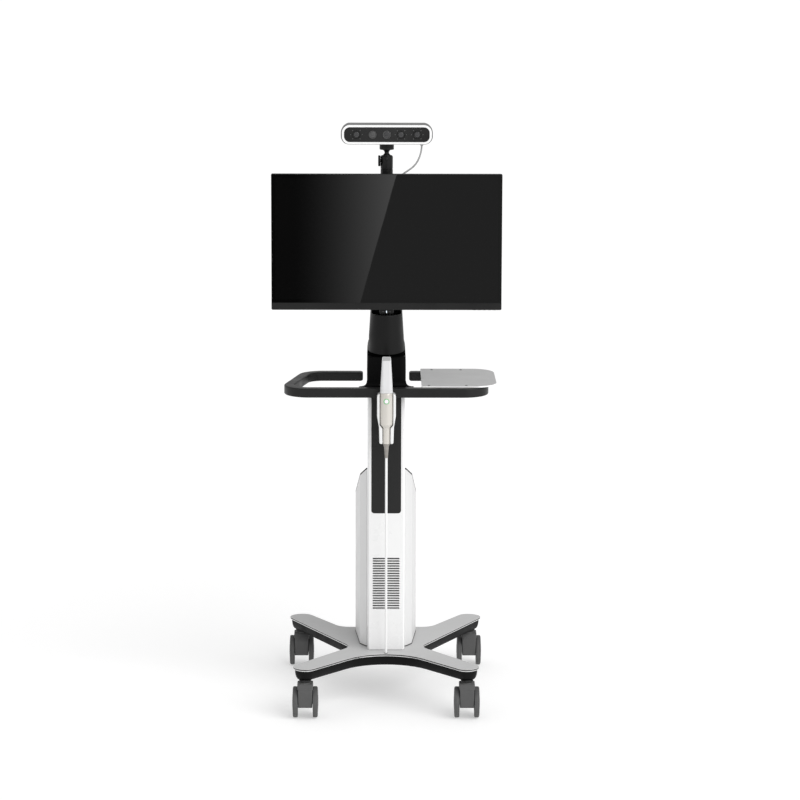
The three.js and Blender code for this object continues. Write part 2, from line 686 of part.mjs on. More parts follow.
const SHELF_TOP = 1236;
const GROOVE_Z = 1268; // between the panning base and the ball's clamp
const PORT_Z = BAR_LEAD.at(-1)[2];
const KNOB_Z = 1287;

function buildBallHead() {
  const upright = block(-20, 20, SCREEN.back + GAP, -53.7, 1195, SHELF_TOP);
  const shelf = block(-15, 15, -55, BALL.y + 15, SHELF_TOP - 4, SHELF_TOP);
  place('scanner_bracket', joined(upright, shelf), blackSatin);

  const profile = [
    [0, SHELF_TOP + GAP], [HEAD_RADIUS, SHELF_TOP + GAP], [HEAD_RADIUS, GROOVE_Z - 0.6], [13.5, GROOVE_Z],
    [HEAD_RADIUS, GROOVE_Z + 0.6], [HEAD_RADIUS, 1298], [12.6, 1300], [0, 1300],
  ];
  const socket = new THREE.SphereGeometry(BALL.radius + 0.7, 16, 10);
  socket.rotateX(Math.PI / 2).translate(0, BALL.y, BALL.z);
  const port = rod(4.2, [10, BALL.y, PORT_Z], [23, BALL.y, PORT_Z], 10);
  const portHole = rod(BAR_LEAD_RADIUS + 2 * GAP, [14, BALL.y, PORT_Z], [30, BALL.y, PORT_Z], 10);
  const screwHole = rod(3.6, [-20, BALL.y, KNOB_Z], [-4, BALL.y, KNOB_Z], 8);
  const body = joined(turned(profile, 0, BALL.y, 20), port);
  place('ball_housing', cut(body, socket, portHole, screwHole), blackFrame);

  const disc = rod(12.8, [-20.2, BALL.y, KNOB_Z], [-15, BALL.y, KNOB_Z], 16);
  const stud = rod(3, [-16, BALL.y, KNOB_Z], [-11.4, BALL.y, KNOB_Z], 8);
  place('lock_knob', joined(disc, stud), blackSatin);

  const ballArc = Array.from({ length: 7 }, (_, i) => {
    const angle = THREE.MathUtils.degToRad(-90 + i * 25);
    return [BALL.radius * Math.cos(angle), BALL.z + BALL.radius * Math.sin(angle)];
  });
  ballArc[0][0] = 0;
  const plateTop = BAR.bottom - GAP;
  const stem = ballArc.concat([[4.8, 1306.5], [8, 1314], [15.7, 1316], [15.7, plateTop], [0, plateTop]]);
  place('ball_stem', turned(stem, 0, BALL.y, 16), blackFrame);
}

const BAR_MIDDLE = (BAR.bottom + BAR.top) / 2;

function windowHole(lens) {
  const hole = new THREE.Path();
  hole.absarc(lens.x, BAR_MIDDLE, lens.radius + 3 * GAP, 0, 2 * Math.PI);
  return hole;
}

function pill(width, height, radius) {
  return rectangle(-width / 2, width / 2, BAR_MIDDLE - height / 2, BAR_MIDDLE + height / 2, radius);
}

function buildScannerBar() {
  const height = BAR.top - BAR.bottom;
  const outer = fromFront(rounded(pill(BAR.width, height, 20)), BAR.front, BAR.back, { bevel: 1 });
  const tapered = reshaped(outer, (point) => {
    const back = Math.max(0, (point.y - BAR.front - 12) / 30);
    point.x *= 1 - 0.05 * back;
    point.z = BAR_MIDDLE + (point.z - BAR_MIDDLE) * (1 - 0.16 * back);
  });
  const roomOutline = rounded(pill(WINDOW.width - 14, WINDOW.height - 6, 13));
  const room = fromFront(roomOutline, BAR.front - 5, -8, { segments: 1 });
  const seat = block(-17, 17, -50, 10, BAR.bottom - 10, BAR.bottom);
  const [leadX] = BAR_LEAD[0];
  const leadHole = rod(BAR_LEAD_RADIUS + 2 * GAP, [leadX, BALL.y, 1320], [leadX, BALL.y, 1345], 12);
  place('scanner_shell', cut(tapered, room, seat, leadHole), finish(0x6c6c6e, 0.45));

  const ring = rounded(pill(210.5, 45.2, 18));
  ring.holes.push(rounded(pill(WINDOW.width, WINDOW.height, 13.8), new THREE.Path()));
  place('scanner_ring', fromFront(ring, -45, BAR.front - GAP), whiteGloss);

  const pane = rounded(pill(WINDOW.width - 2 * GAP, WINDOW.height - 2 * GAP, 13.4));
  pane.holes.push(...LENSES.map(windowHole));
  place('scanner_window', fromFront(pane, -44.4, BAR.front - GAP, { segments: 7 }), darkGlass);

  LENSES.forEach(({ name, x, radius }) => {
    const barrel = turned([[0, 36], [radius, 36], [radius, 44.2], [radius - 0.4, 44.6], [0, 44.6]], 0, 0, 14);
    place(name, barrel.rotateX(Math.PI / 2).translate(x, 0, BAR_MIDDLE), darkGlass);
  });
}

// ---------------------------------------------------------------- cradle and handpiece

function buildCradle() {
  const { bottom, top, step, back, front } = CRADLE;
  const outline = rounded([
    [-17.3, bottom, 4], [17.3, bottom, 4], [18.2, step, 10], [22, step + 26, 20], [22, top, 7],
    [-22, top, 7], [-22, step + 26, 20], [-18.2, step, 10],
  ]);
  const body = fromFront(outline, front, back, { bevel: 1.5, segments: 1 });
  const deep = back - 3;
  const grip = 9.3;
  const bodyRoom = 15.7;
  const channel = fromFront(rounded([
    [-grip, bottom - 20, 0], [grip, bottom - 20, 0], [grip, step - 3, 0], [bodyRoom, step + 5, 0],
    [bodyRoom, top + 20, 0], [-bodyRoom, top + 20, 0], [-bodyRoom, step + 5, 0], [-grip, step - 3, 0],
  ]), front - 10, deep);
  const arm = block(-10, 10, back - 2, PANEL_FRONT - 2 * GAP, 684, 728);
  place('cradle', joined(cut(body, channel), arm), whiteGloss);
}

const BODY_TOP = 755.2; // where the body ends and the tip begins

function buildHandpiece() {
  const y = HANDPIECE_Y;
  const body = turned([
    [0, 634], [8.2, 634], [8.7, 673], [15, 682], [15.2, 702], [14.8, 751], [13.8, BODY_TOP],
    [11, BODY_TOP], [11, 775], [0, 775],
  ], 0, y, 18);
  const seat = rod(BUTTON.radius + 2 * GAP, [0, y - 30, BUTTON.z], [0, y - 11.2, BUTTON.z], 12);
  place('handpiece_body', cut(body, seat), champagne);

  const cap = rod(BUTTON.radius, [0, y - 12.3, BUTTON.z], [0, y - 15.8, BUTTON.z], 12);
  place('handpiece_button', cap, finish(0xf2eef4, 0.4));

  const tipBottom = BODY_TOP + 2 * GAP;
  const tipTop = 839.6;
  const sectionOutline = rounded(rectangle(-15, 15, -13.4, 13.4, 9));
  const section = pushed(sectionOutline, tipBottom, tipTop, { segments: 3 });
  const sleeve = reshaped(section, (point) => {
    const rise = (point.z - tipBottom) / (tipTop - tipBottom);
    point.x *= 1 - 0.33 * rise;
    point.y *= 1 - 0.3 * rise;
  }).translate(0, y, 0);
  const bore = rod(11.6, [0, y, 740], [0, y, 778], 18);
  const mouth = block(-7.5, 7.5, y + 2, y + 15, 820, 834);
  place('handpiece_tip', cut(sleeve, bore, mouth), whiteSatin);

  const boot = turned([
    [0, 614], [LEAD_RADIUS + 2 * GAP, 614], [LEAD_RADIUS + 2 * GAP, 598],
    [5.1, 598], [5.8, 615], [6.6, 625], [8, 633.7], [0, 633.7],
  ], 0, y, 12);
  place('lead_boot', boot, reliefGrey);
}

function buildLeads() {
  place('handpiece_lead', lead(HANDPIECE_LEAD, LEAD_RADIUS, 28), leadWhite);
  place('scanner_lead', lead(BAR_LEAD, BAR_LEAD_RADIUS, 20), leadWhite);
}

buildBase();
buildCastors();
buildColumn();
buildFrontPanel();
buildSideHousing('side_housing_left', -1);
buildSideHousing('side_housing_right', 1);
buildRearCover();
buildElectronics();
buildFan();
buildHandrail();
buildColumnHead();
buildNeck();
buildMonitor();
buildBallHead();
buildScannerBar();
buildCradle();
buildHandpiece();
buildLeads();

export default cart;
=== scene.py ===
"""Looks of the mobile intraoral scanning cart. Metres, +Z up, the front faces -Y."""

import math

import bmesh
import bpy
from mathutils import Matrix, Vector


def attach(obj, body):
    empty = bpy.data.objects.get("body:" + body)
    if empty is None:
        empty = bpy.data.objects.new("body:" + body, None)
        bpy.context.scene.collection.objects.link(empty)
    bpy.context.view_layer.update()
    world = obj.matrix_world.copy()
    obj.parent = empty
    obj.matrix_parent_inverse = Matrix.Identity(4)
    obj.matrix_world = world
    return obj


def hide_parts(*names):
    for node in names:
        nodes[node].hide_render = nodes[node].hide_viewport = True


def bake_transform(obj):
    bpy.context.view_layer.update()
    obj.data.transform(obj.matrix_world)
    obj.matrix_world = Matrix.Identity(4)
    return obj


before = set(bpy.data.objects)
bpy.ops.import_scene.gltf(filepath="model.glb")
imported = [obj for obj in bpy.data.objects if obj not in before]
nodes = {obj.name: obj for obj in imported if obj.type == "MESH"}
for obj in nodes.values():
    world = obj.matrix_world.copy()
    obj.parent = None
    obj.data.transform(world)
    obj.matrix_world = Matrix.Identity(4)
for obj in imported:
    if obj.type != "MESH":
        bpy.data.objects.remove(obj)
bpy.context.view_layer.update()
scene = bpy.context.scene
MM = 0.001

# ------------------------------------------------------------------ camera and leads

camera = bpy.data.objects.new("camera", bpy.data.cameras.new("camera"))
camera.data.lens = 150.3
camera.data.sensor_width = 36
camera.location = (-0.035, -7.82, 2.165)
aim = Matrix.Rotation(math.radians(-0.497), 3, "Z") @ Matrix.Rotation(math.radians(90 - 10.52), 3, "X")
camera.rotation_euler = (aim @ Matrix.Rotation(math.radians(0.16), 3, "Z")).to_euler()
camera.data.clip_end = 200
scene.collection.objects.link(camera)
scene.camera = camera

# Routes of the two leads, in millimetres, where the CAD's own tubes run.
HANDPIECE_LEAD = [(0, y, z) for y, z in (
    (-136.8, 612), (-136.8, 600), (-136.7, 580), (-136.4, 555), (-135.7, 525), (-134.5, 490),
    (-132.7, 450), (-130.2, 410), (-127.6, 370), (-124.9, 330), (-122.5, 290), (-120.2, 250),
    (-118.7, 210), (-117.8, 175), (-117.2, 148), (-117, 130), (-117, 113))]
BAR_LEAD = [(x, -22, z) for x, z in (
    (82, 1333), (82, 1326), (81.7, 1318), (80.6, 1310), (78.6, 1301.5), (75.6, 1293), (71.6, 1285),
    (66.4, 1277.7), (60, 1271.3), (52.8, 1265.9), (45.4, 1261), (38.4, 1256), (31.8, 1251.2),
    (26, 1248.7), (21, 1248), (15, 1248))]


def add_object(name, mesh):
    obj = bpy.data.objects.new(name, mesh)
    scene.collection.objects.link(obj)
    return obj


def mesh_from(name, points, faces):
    mesh = bpy.data.meshes.new(name)
    mesh.from_pydata([tuple(c * MM for c in p) for p in points], [], faces)
    mesh.update()
    return add_object(name, mesh)


def smooth_route(route, per_span):
    """Points on a Catmull-Rom curve through the route."""
    p = [Vector(r) for r in route]
    p = [p[0] * 2 - p[1]] + p + [p[-1] * 2 - p[-2]]
    out = []
    for a, b, c, d in zip(p, p[1:], p[2:], p[3:]):
        for i in range(per_span):
            t = i / per_span
            out.append(
                0.5 * (2 * b + (c - a) * t + (2 * a - 5 * b + 4 * c - d) * t * t
                       + (3 * b - a - 3 * c + d) * t ** 3))
    out.append(p[-2])
    return out


def tube(name, path, radius, sides=20):
    """A capped round tube along a path, its section carried along without twist."""
    points, faces = [], []
    side = Vector((1, 0, 0.001)).cross(path[1] - path[0]).normalized()
    for i, p in enumerate(path):
        ahead = path[min(i + 1, len(path) - 1)] - path[max(i - 1, 0)]
        ahead.normalize()
        side = (side - ahead * side.dot(ahead)).normalized()
        other = ahead.cross(side)
        for k in range(sides):
            angle = 2 * math.pi * k / sides
            points.append(p + radius * (side * math.cos(angle) + other * math.sin(angle)))
    for i in range(len(path) - 1):
        for k in range(sides):
            a, b = i * sides + k, i * sides + (k + 1) % sides
            faces.append((a, b, b + sides, a + sides))
    faces.append(tuple(range(sides))[::-1])
    faces.append(tuple(range(len(points) - sides, len(points))))
    return mesh_from(name, points, faces)


# ------------------------------------------------------------------ mesh helpers, in millimetres

PLANES = {
    "XY": lambda a, b, h: (a, b, h),
    "XZ": lambda a, b, h: (a, h, b),
    "YZ": lambda a, b, h: (h, a, b),
}


def rounded(corners, steps=8, closed=True):
    """Points through (a, b, radius) corners, each turned into an arc of its radius."""
    points = []
    count = len(corners)
    for i, (a, b, radius) in enumerate(corners):
        here = Vector((a, b))
        if radius <= 0 or (not closed and i in (0, count - 1)):
            points.append(here)
            continue
        back = (Vector(corners[i - 1][:2]) - here).normalized()
        ahead = (Vector(corners[(i + 1) % count][:2]) - here).normalized()
        half = math.acos(max(-1, min(1, back.dot(ahead)))) / 2
        if half > math.pi / 2 - 1e-3:
            points.append(here)
            continue
        centre = here + (back + ahead).normalized() * (radius / math.sin(half))
        start = here + back * (radius / math.tan(half)) - centre
        end = here + ahead * (radius / math.tan(half)) - centre
        first = math.atan2(start.y, start.x)
        sweep = (math.atan2(end.y, end.x) - first + math.pi) % (2 * math.pi) - math.pi
        for k in range(steps + 1):
            angle = first + sweep * k / steps
            points.append(centre + radius * Vector((math.cos(angle), math.sin(angle))))
    return points


def inset(corners, distance):
    """The corners with every edge moved inwards by a distance."""
    count = len(corners)
    area = sum(
        corners[i][0] * corners[(i + 1) % count][1]
        - corners[(i + 1) % count][0] * corners[i][1] for i in range(count))
    sign = 1 if area > 0 else -1
    out = []
    for i, (a, b, radius) in enumerate(corners):
        here = Vector((a, b))
        arriving = (here - Vector(corners[i - 1][:2])).normalized()
        leaving = (Vector(corners[(i + 1) % count][:2]) - here).normalized()
        cross = arriving.x * leaving.y - arriving.y * leaving.x
        moved = here + (leaving - arriving) * (sign * distance / cross)
        change = -distance if cross * sign > 0 else distance
        out.append((moved.x, moved.y, max(0.05, radius + change) if radius else 0))
    return out


def mirrored(corners):
    return corners + [(-a, b, r) for a, b, r in reversed(corners) if a != 0]


def rectangle(a0, a1, b0, b1, radius=0.0):
    return [(a0, b0, radius), (a1, b0, radius), (a1, b1, radius), (a0, b1, radius)]


def soft(low, high, low_rim=0.0, high_rim=0.0, steps=3):
    """(inset, height) levels of a slab whose two rims are rounded."""
    turn = [math.pi / 2 * i / steps for i in range(steps + 1)]
    first = [(low_rim * (1 - math.sin(t)), low + low_rim * (1 - math.cos(t))) for t in turn]
    last = [(high_rim * (1 - math.cos(t)), high - high_rim * (1 - math.sin(t))) for t in turn]
    return (first if low_rim else [(0, low)]) + (last if high_rim else [(0, high)])


def skin(name, rings, closed=False):
    """Joins rings of the same number of points with quads; open stacks get end faces."""
    count = len(rings[0])
    points = [p for ring in rings for p in ring]
    faces = []
    for i in range(len(rings) - (0 if closed else 1)):
        first, second = i * count, ((i + 1) % len(rings)) * count
        for k in range(count):
            n = (k + 1) % count
            faces.append((first + k, first + n, second + n, second + k))
    if not closed:
        faces.append(tuple(range(count))[::-1])
        faces.append(tuple(range(len(points) - count, len(points))))
    obj = mesh_from(name, points, faces)
    tidy(obj)
    return obj


def tidy(obj):
    b = bmesh.new()
    b.from_mesh(obj.data)
    bmesh.ops.remove_doubles(b, verts=b.verts, dist=2e-6)
    bmesh.ops.recalc_face_normals(b, faces=b.faces)
    b.to_mesh(obj.data)
    b.free()


def loft(name, corners, levels, plane="XY", steps=8, shape=None):
    rings = []
    for distance, height in levels:
        ring = rounded(inset(corners, distance) if distance else corners, steps)
        ring = [PLANES[plane](p.x, p.y, height) for p in ring]
        rings.append([shape(*p) for p in ring] if shape else ring)
    return skin(name, rings)


def slab(name, corners, low, high, plane="XY", steps=8):
    """One outline drawn straight from a height to another."""
    return loft(name, corners, [(0, low), (0, high)], plane, steps)


def band(name, corners, section, plane="XY", steps=8):
    """A closed frame: the section's (inset, height) loop carried round the outline."""
    return skin(name, [
        [PLANES[plane](p.x, p.y, height) for p in rounded(inset(corners, distance), steps)]
        for distance, height in section], closed=True)


def box(name, a0, a1, b0, b1, h0, h1, rim=0.6, plane="XY", radius=None):
    corners = rectangle(a0, a1, b0, b1, rim if radius is None else radius)
    return loft(name, corners, soft(h0, h1, rim, rim, 2), plane, 4)


def lathe(name, profile, at, axis="Z", steps=48):
    """A (radius, height) profile turned about an axis; one that ends where it starts is a hollow ring."""
    rings = []
    for radius, height in profile:
        radius = max(radius, 1e-3)
        ring = []
        for k in range(steps):
            angle = 2 * math.pi * k / steps
            c, s = radius * math.cos(angle), radius * math.sin(angle)
            offset = {"Z": (c, s, height), "Y": (c, height, s), "X": (height, c, s)}[axis]
            ring.append(tuple(p + q for p, q in zip(at, offset)))
        rings.append(ring)
    if profile[0] == profile[-1]:
        return skin(name, rings[:-1], closed=True)
    return skin(name, rings)


def profile(corners, steps=5):
    """An open (radius, height, fillet) profile with its corners rounded."""
    return [(p.x, p.y) for p in rounded(corners, steps, closed=False)]


def carve(obj, *tools, operation="DIFFERENCE"):
    for tool in tools:
        step = obj.modifiers.new("step", "BOOLEAN")
        step.operation = operation
        step.solver = "EXACT"
        step.object = tool
    graph = bpy.context.evaluated_depsgraph_get()
    obj.data = bpy.data.meshes.new_from_object(obj.evaluated_get(graph))
    obj.modifiers.clear()
    for tool in tools:
        bpy.data.objects.remove(tool)
    tidy(obj)
    return obj


def fused(*objs):
    return carve(objs[0], *objs[1:], operation="UNION")


def hex_screws(name, head, places, bore, steps=24):
    """Screws standing along Z, each with a hexagon socket of a (radius, low, high)."""
    made = []
    radius, low, high = bore
    for x, y in places:
        screw = lathe("screw", head, (x, y, 0), steps=steps)
        socket = lathe("hex", [(0, low), (radius, low), (radius, high), (0, high)], (x, y, 0), steps=6)
        made.append(carve(screw, socket))
    dress(gathered(name, made), screw_steel, "cart")


def cross_screws(name, head, places, body, arms, low, high, steps):
    """Screws that face the back, each with a cross recess of a (half length, half width)."""
    made = []
    for x, z in places:
        screw = lathe("screw", head, (x, 0, z), "Y", steps)
        cross = [slab("cross", rectangle(x - a, x + a, z - b, z + b, 0), low, high, "XZ")
                 for a, b in (arms, arms[::-1])]
        made.append(carve(screw, *cross))
    dress(gathered(name, made), screw_steel, body)


def level(points, z):
    return [(p.x, p.y, z) for p in points]


def angles(first, last, count):
    """Evenly spaced angles, both ends included."""
    return [first + (last - first) * i / count for i in range(count + 1)]


def gathered(name, objs):
    """Separate closed bodies as one piece."""
    b = bmesh.new()
    for obj in objs:
        b.from_mesh(obj.data)
        bpy.data.objects.remove(obj)
    mesh = bpy.data.meshes.new(name)
    b.to_mesh(mesh)
    b.free()
    return add_object(name, mesh)


def shifted(obj, x, y, z):
    obj.data.transform(Matrix.Translation((x * MM, y * MM, z * MM)))
    return obj


def sheathed(obj, material, angle=50):
    """Gives a piece its one material and smooth shading up to an angle in degrees."""
    obj.data.materials.clear()
    obj.data.materials.append(material)
    obj.data.shade_smooth()
    obj.data.set_sharp_from_angle(angle=math.radians(angle))
    return obj


def dress(obj, material, body, *stands_for, slot=None, angle=38):
    """Gives a piece its material, its shading, its body and the CAD nodes it stands for."""
    sheathed(obj, material, angle)
    flat = obj.modifiers.new("flat_faces", "WEIGHTED_NORMAL")
    flat.keep_sharp = True
    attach(obj, body)
    if stands_for:
        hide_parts(*stands_for)
    return obj


# ------------------------------------------------------------------ materials


def tone(*levels):
    """Linear colour of 8-bit sRGB levels; one level makes a grey."""
    levels = levels * 3 if len(levels) == 1 else levels
    parts = [v / 255 for v in levels]
    return tuple(p / 12.92 if p <= 0.04045 else ((p + 0.055) / 1.055) ** 2.4 for p in parts) + (1,)


class Nodes:
    """Short calls for building a node tree."""

    def __init__(self, name):
        self.material = bpy.data.materials.new(name)
        self.material.use_nodes = True
        self.tree = self.material.node_tree
        self.shader = self.tree.nodes["Principled BSDF"]

    def add(self, kind, inputs=None, **settings):
        node = self.tree.nodes.new("ShaderNode" + kind)
        for key, value in settings.items():
            setattr(node, key, value)
        for key, value in (inputs or {}).items():
            self.put(node.inputs[key], value)
        return node

    def put(self, socket, value):
        if isinstance(value, bpy.types.NodeSocket):
            self.tree.links.new(value, socket)
        else:
            socket.default_value = value

    def place(self, stretch=(1, 1, 1)):
        coordinates = self.add("TexCoord").outputs["Object"]
        return self.add("Mapping", {"Vector": coordinates, "Scale": stretch}).outputs["Vector"]

    def noise(self, where, size, detail=3.0, roughness=0.55):
        inputs = {"Vector": where, "Scale": 1 / size, "Detail": detail, "Roughness": roughness}
        return self.add("TexNoise", inputs).outputs["Fac"]

    def ranged(self, value, low, high, to_low, to_high):
        inputs = {0: value, 1: low, 2: high, 3: to_low, 4: to_high}
        return self.add("MapRange", inputs, clamp=True).outputs[0]

    def mix(self, factor, first, second):
        node = self.add("Mix", data_type="RGBA")
        self.put(node.inputs[0], factor)
        self.put(node.inputs[6], first)
        self.put(node.inputs[7], second)
        return node.outputs[2]

    def maths(self, operation, first, second=0.0, clamp=False):
        return self.add("Math", {0: first, 1: second}, operation=operation, use_clamp=clamp).outputs[0]

    def finish(self, inputs):
        for key, value in inputs.items():
            self.put(self.shader.inputs[key], value)
        return self.material


def scaled(colour, factor):
    return tuple(min(1, c * factor) for c in colour[:3]) + (1,)


def surface(name, colour, rough, metallic=0.0, mottle=0.05, mottle_size=0.05, grain_size=0.0009,
            grain=0.25, depth=0.00005, rough_spread=0.1, worn=0.0, worn_colour=None, dust=0.0,
            stretch=(1, 1, 1), specular=0.5, coat=0.0, scuff=0.0):
    """A painted, moulded or metal surface: mottled colour, grain, smudged gloss and worn edges."""
    n = Nodes(name)
    where = n.place(stretch)
    broad = n.noise(where, mottle_size, 5)
    fine = n.noise(where, grain_size, 2)
    base = n.mix(n.ranged(broad, 0.3, 0.7, 0, 1), scaled(colour, 1 - mottle), scaled(colour, 1 + mottle))
    base = n.mix(n.ranged(fine, 0.35, 0.65, 0, 0.5), base, scaled(colour, 1 - mottle))
    if dust:
        normal = n.add("NewGeometry").outputs["Normal"]
        up = n.add("SeparateXYZ", {0: normal}).outputs[2]
        speck = n.noise(where, 0.004, 4, 0.7)
        amount = n.maths("MULTIPLY", n.ranged(up, 0.6, 1, 0, dust), n.ranged(speck, 0.45, 0.7, 0.3, 1))
        base = n.mix(amount, base, tone(188, 186, 182))
    roughness = n.ranged(broad, 0.3, 0.7, max(0.02, rough - rough_spread), min(1, rough + rough_spread))
    if scuff:
        marks = n.noise(n.place((1, 14, 14)), 0.12, 6, 0.75)
        line = n.ranged(marks, 0.62, 0.68, 0, scuff)
        roughness = n.maths("ADD", roughness, line)
        base = n.mix(line, base, scaled(colour, 1.5))
    if worn:
        bevel = n.add("Bevel", {"Radius": worn}, samples=4).outputs["Normal"]
        straight = n.add("NewGeometry").outputs["Normal"]
        dot = n.add("VectorMath", {0: bevel, 1: straight}, operation="DOT_PRODUCT").outputs["Value"]
        edge = n.ranged(dot, 0.985, 0.86, 0, 1)
        patch = n.ranged(n.noise(where, 0.006, 4, 0.7), 0.42, 0.62, 0.15, 1)
        edge = n.maths("MULTIPLY", edge, patch)
        base = n.mix(edge, base, worn_colour or scaled(colour, 1.9))
    height = n.maths("ADD", fine, n.maths("MULTIPLY", broad, 0.6))
    bump = n.add("Bump", {"Strength": grain, "Distance": depth, "Height": height}).outputs["Normal"]
    return n.finish({
        "Base Color": base, "Roughness": roughness, "Normal": bump, "Metallic": metallic,
        "Specular IOR Level": specular, "Coat Weight": coat, "Coat Roughness": 0.12})


def gleam(name, colour, rough, smudge=0.06, specular=0.5, coat=0.0, inner=None):
    """Polished glass or gloss plastic: nearly even colour, smudges that only dull the gloss."""
    n = Nodes(name)
    where = n.place()
    cloud = n.noise(where, 0.045, 6, 0.65)
    streak = n.noise(n.place((3, 1, 9)), 0.2, 5, 0.7)
    film = n.ranged(n.maths("MULTIPLY", cloud, streak), 0.2, 0.4, 0, 1)
    roughness = n.ranged(film, 0, 1, rough, rough + smudge)
    base = n.mix(film, colour, scaled(colour, 1.06))
    if inner:
        (x0, x1, z0, z1), shade = inner
        split = n.add("SeparateXYZ", {0: n.add("TexCoord").outputs["Object"]}).outputs
        sides = [
            n.ranged(split[0], x0 * MM, (x0 + 1) * MM, 0, 1),
            n.ranged(split[0], x1 * MM, (x1 - 1) * MM, 0, 1),
            n.ranged(split[2], z0 * MM, (z0 + 1) * MM, 0, 1),
            n.ranged(split[2], z1 * MM, (z1 - 1) * MM, 0, 1)]
        inside = sides[0]
        for other in sides[1:]:
            inside = n.maths("MULTIPLY", inside, other)
        base = n.mix(inside, base, shade)
    ripple = n.noise(where, 0.09, 2)
    bump = n.add("Bump", {"Strength": 0.02, "Distance": 0.0004, "Height": ripple}).outputs["Normal"]
    return n.finish({
        "Base Color": base, "Roughness": roughness, "Normal": bump,
        "Specular IOR Level": specular, "Coat Weight": coat, "Coat Roughness": 0.05})


def lit(name, colour, glow):
    """A small moulded light window: a tinted lens with a faint cell pattern, glowing."""
    n = Nodes(name)
    cells = n.add("TexVoronoi", {"Vector": n.place(), "Scale": 2200.0}).outputs["Distance"]
    base = n.mix(n.ranged(cells, 0.1, 0.7, 0, 0.25), colour, scaled(colour, 0.6))
    return n.finish({
        "Base Color": base, "Emission Color": base, "Roughness": n.ranged(cells, 0, 1, 0.2, 0.4),
        "Emission Strength": glow})


frame_black = surface("frame_black", tone(15), 0.5, grain=0.35, depth=0.00006, worn=0.0012, scuff=0.08,
    specular=0.1)
rail_black = surface("rail_black", tone(27), 0.42, grain=0.3, worn=0.001, dust=0.03, scuff=0.05,
    specular=0.25)
head_black = surface("head_black", tone(7), 0.5, grain=0.3, specular=0.06)
ball_black = surface("ball_black", tone(17), 0.4, grain=0.3, specular=0.25)
cover_black = surface("cover_black", tone(19), 0.46, grain=0.4, grain_size=0.0011, mottle=0.06, specular=0.17)
bezel_black = surface("bezel_black", tone(25), 0.42, specular=0.25, grain=0.35, grain_size=0.0008,
    mottle=0.04)
plate_grey = surface("plate_grey", tone(193), 0.45, grain=0.3, depth=0.00004, mottle=0.018, scuff=0.05,
    worn=0.0008, worn_colour=tone(222))
edge_dark = surface("edge_dark", tone(26), 0.6, mottle=0.1, mottle_size=0.01, grain=0.4)
trim_metal = surface("trim_metal", tone(226), 0.28, metallic=0.85, mottle=0.04, stretch=(1, 1, 30),
    grain_size=0.004, grain=0.15)
steel = surface("steel", tone(150), 0.3, metallic=1.0, stretch=(1, 1, 22), grain_size=0.006, grain=0.2,
    mottle=0.08)
screw_steel = surface("screw_steel", tone(120), 0.32, metallic=1.0, grain_size=0.001, mottle=0.1,
    mottle_size=0.004)
panel_white = surface("panel_white", tone(233), 0.3, mottle=0.012, grain=0.1, grain_size=0.0015,
    rough_spread=0.06)
column_white = surface("column_white", tone(246), 0.34, mottle=0.014, grain=0.12, worn=0.0006,
                       worn_colour=tone(250))
housing_white = surface("housing_white", tone(219), 0.46, mottle=0.014, grain=0.3, grain_size=0.0007)
inlay_black = surface("inlay_black", tone(31), 0.34, specular=0.25, mottle=0.05, grain=0.2, grain_size=0.0012)
inner_grey = surface("inner_grey", tone(58, 61, 66), 0.6, mottle=0.1)
fitting_black = surface("fitting_black", tone(22), 0.5, mottle=0.08, mottle_size=0.01, grain=0.35)
tray_metal = surface("tray_metal", tone(192), 0.4, metallic=0.35, mottle=0.02, grain=0.35, grain_size=0.0006,
    scuff=0.07)
# Painted highlight: the tray's metal edge gets a near-white, non-metal colour for the light it catches.
tray_edge_highlight = surface("tray_edge_highlight", tone(250), 0.3, mottle=0.01, stretch=(1, 1, 20), grain_size=0.003)
castor_grey = surface("castor_grey", tone(82), 0.55, specular=0.3, mottle=0.06, mottle_size=0.02, grain=0.35,
    worn=0.0012, dust=0.06)
tyre_grey = surface("tyre_grey", tone(84), 0.72, mottle=0.12, mottle_size=0.008, grain=0.5, grain_size=0.0006,
                    depth=0.0001, rough_spread=0.12)
cradle_white = surface("cradle_white", tone(230), 0.16, mottle=0.01, grain=0.06, grain_size=0.002, coat=0.3,
                       rough_spread=0.04)
champagne = surface("champagne", tone(208, 204, 197), 0.32, metallic=0.2, mottle=0.02, grain=0.1,
                    grain_size=0.0004, coat=0.2)
tip_white = surface("tip_white", tone(216, 216, 217), 0.32, mottle=0.012, grain=0.12)
boot_grey = surface("boot_grey", tone(147, 143, 138), 0.62, mottle=0.06, mottle_size=0.006, grain=0.45)
lead_white = surface("lead_white", tone(234), 0.42, mottle=0.02, mottle_size=0.02, grain=0.25)
lead_grey = surface("lead_grey", tone(178), 0.45, mottle=0.03, mottle_size=0.02, grain=0.25)
shell_grey = surface("shell_grey", tone(106), 0.4, metallic=0.2, mottle=0.03, grain=0.3, grain_size=0.0006)
ring_white = surface("ring_white", tone(244), 0.2, mottle=0.01, grain=0.06, coat=0.4)
screen_black = gleam("screen_black", tone(7), 0.004, 0.012,
                     inner=((-261.5, 261.5, 965, 1253.5), tone(10)))
window_black = gleam("window_black", tone(34), 0.08, 0.05, specular=0.25)
lens_dark = gleam("lens_dark", tone(64, 64, 65), 0.05, 0.03, specular=0.3)
lens_pale = gleam("lens_pale", tone(80), 0.05, 0.03, specular=0.3)
mirror_pale = gleam("mirror_pale", tone(150, 152, 158), 0.04, 0.04, coat=1.0)
# Dark rubber: the outlet grommet's own colour, and also the painted contact shade strip round the side housings'
# foot.
seal_rubber_and_shade = surface("seal_rubber_and_shade", tone(34), 0.66, mottle=0.1, mottle_size=0.01, grain=0.4)
led_white = lit("led_white", tone(118), 0.06)
led_status = lit("led_status", (0.85, 0.95, 1, 1), 0.8)
button_green = lit("button_green", tone(120, 196, 128), 0.12)
button_pink = lit("button_pink", tone(240, 226, 240), 0.2)

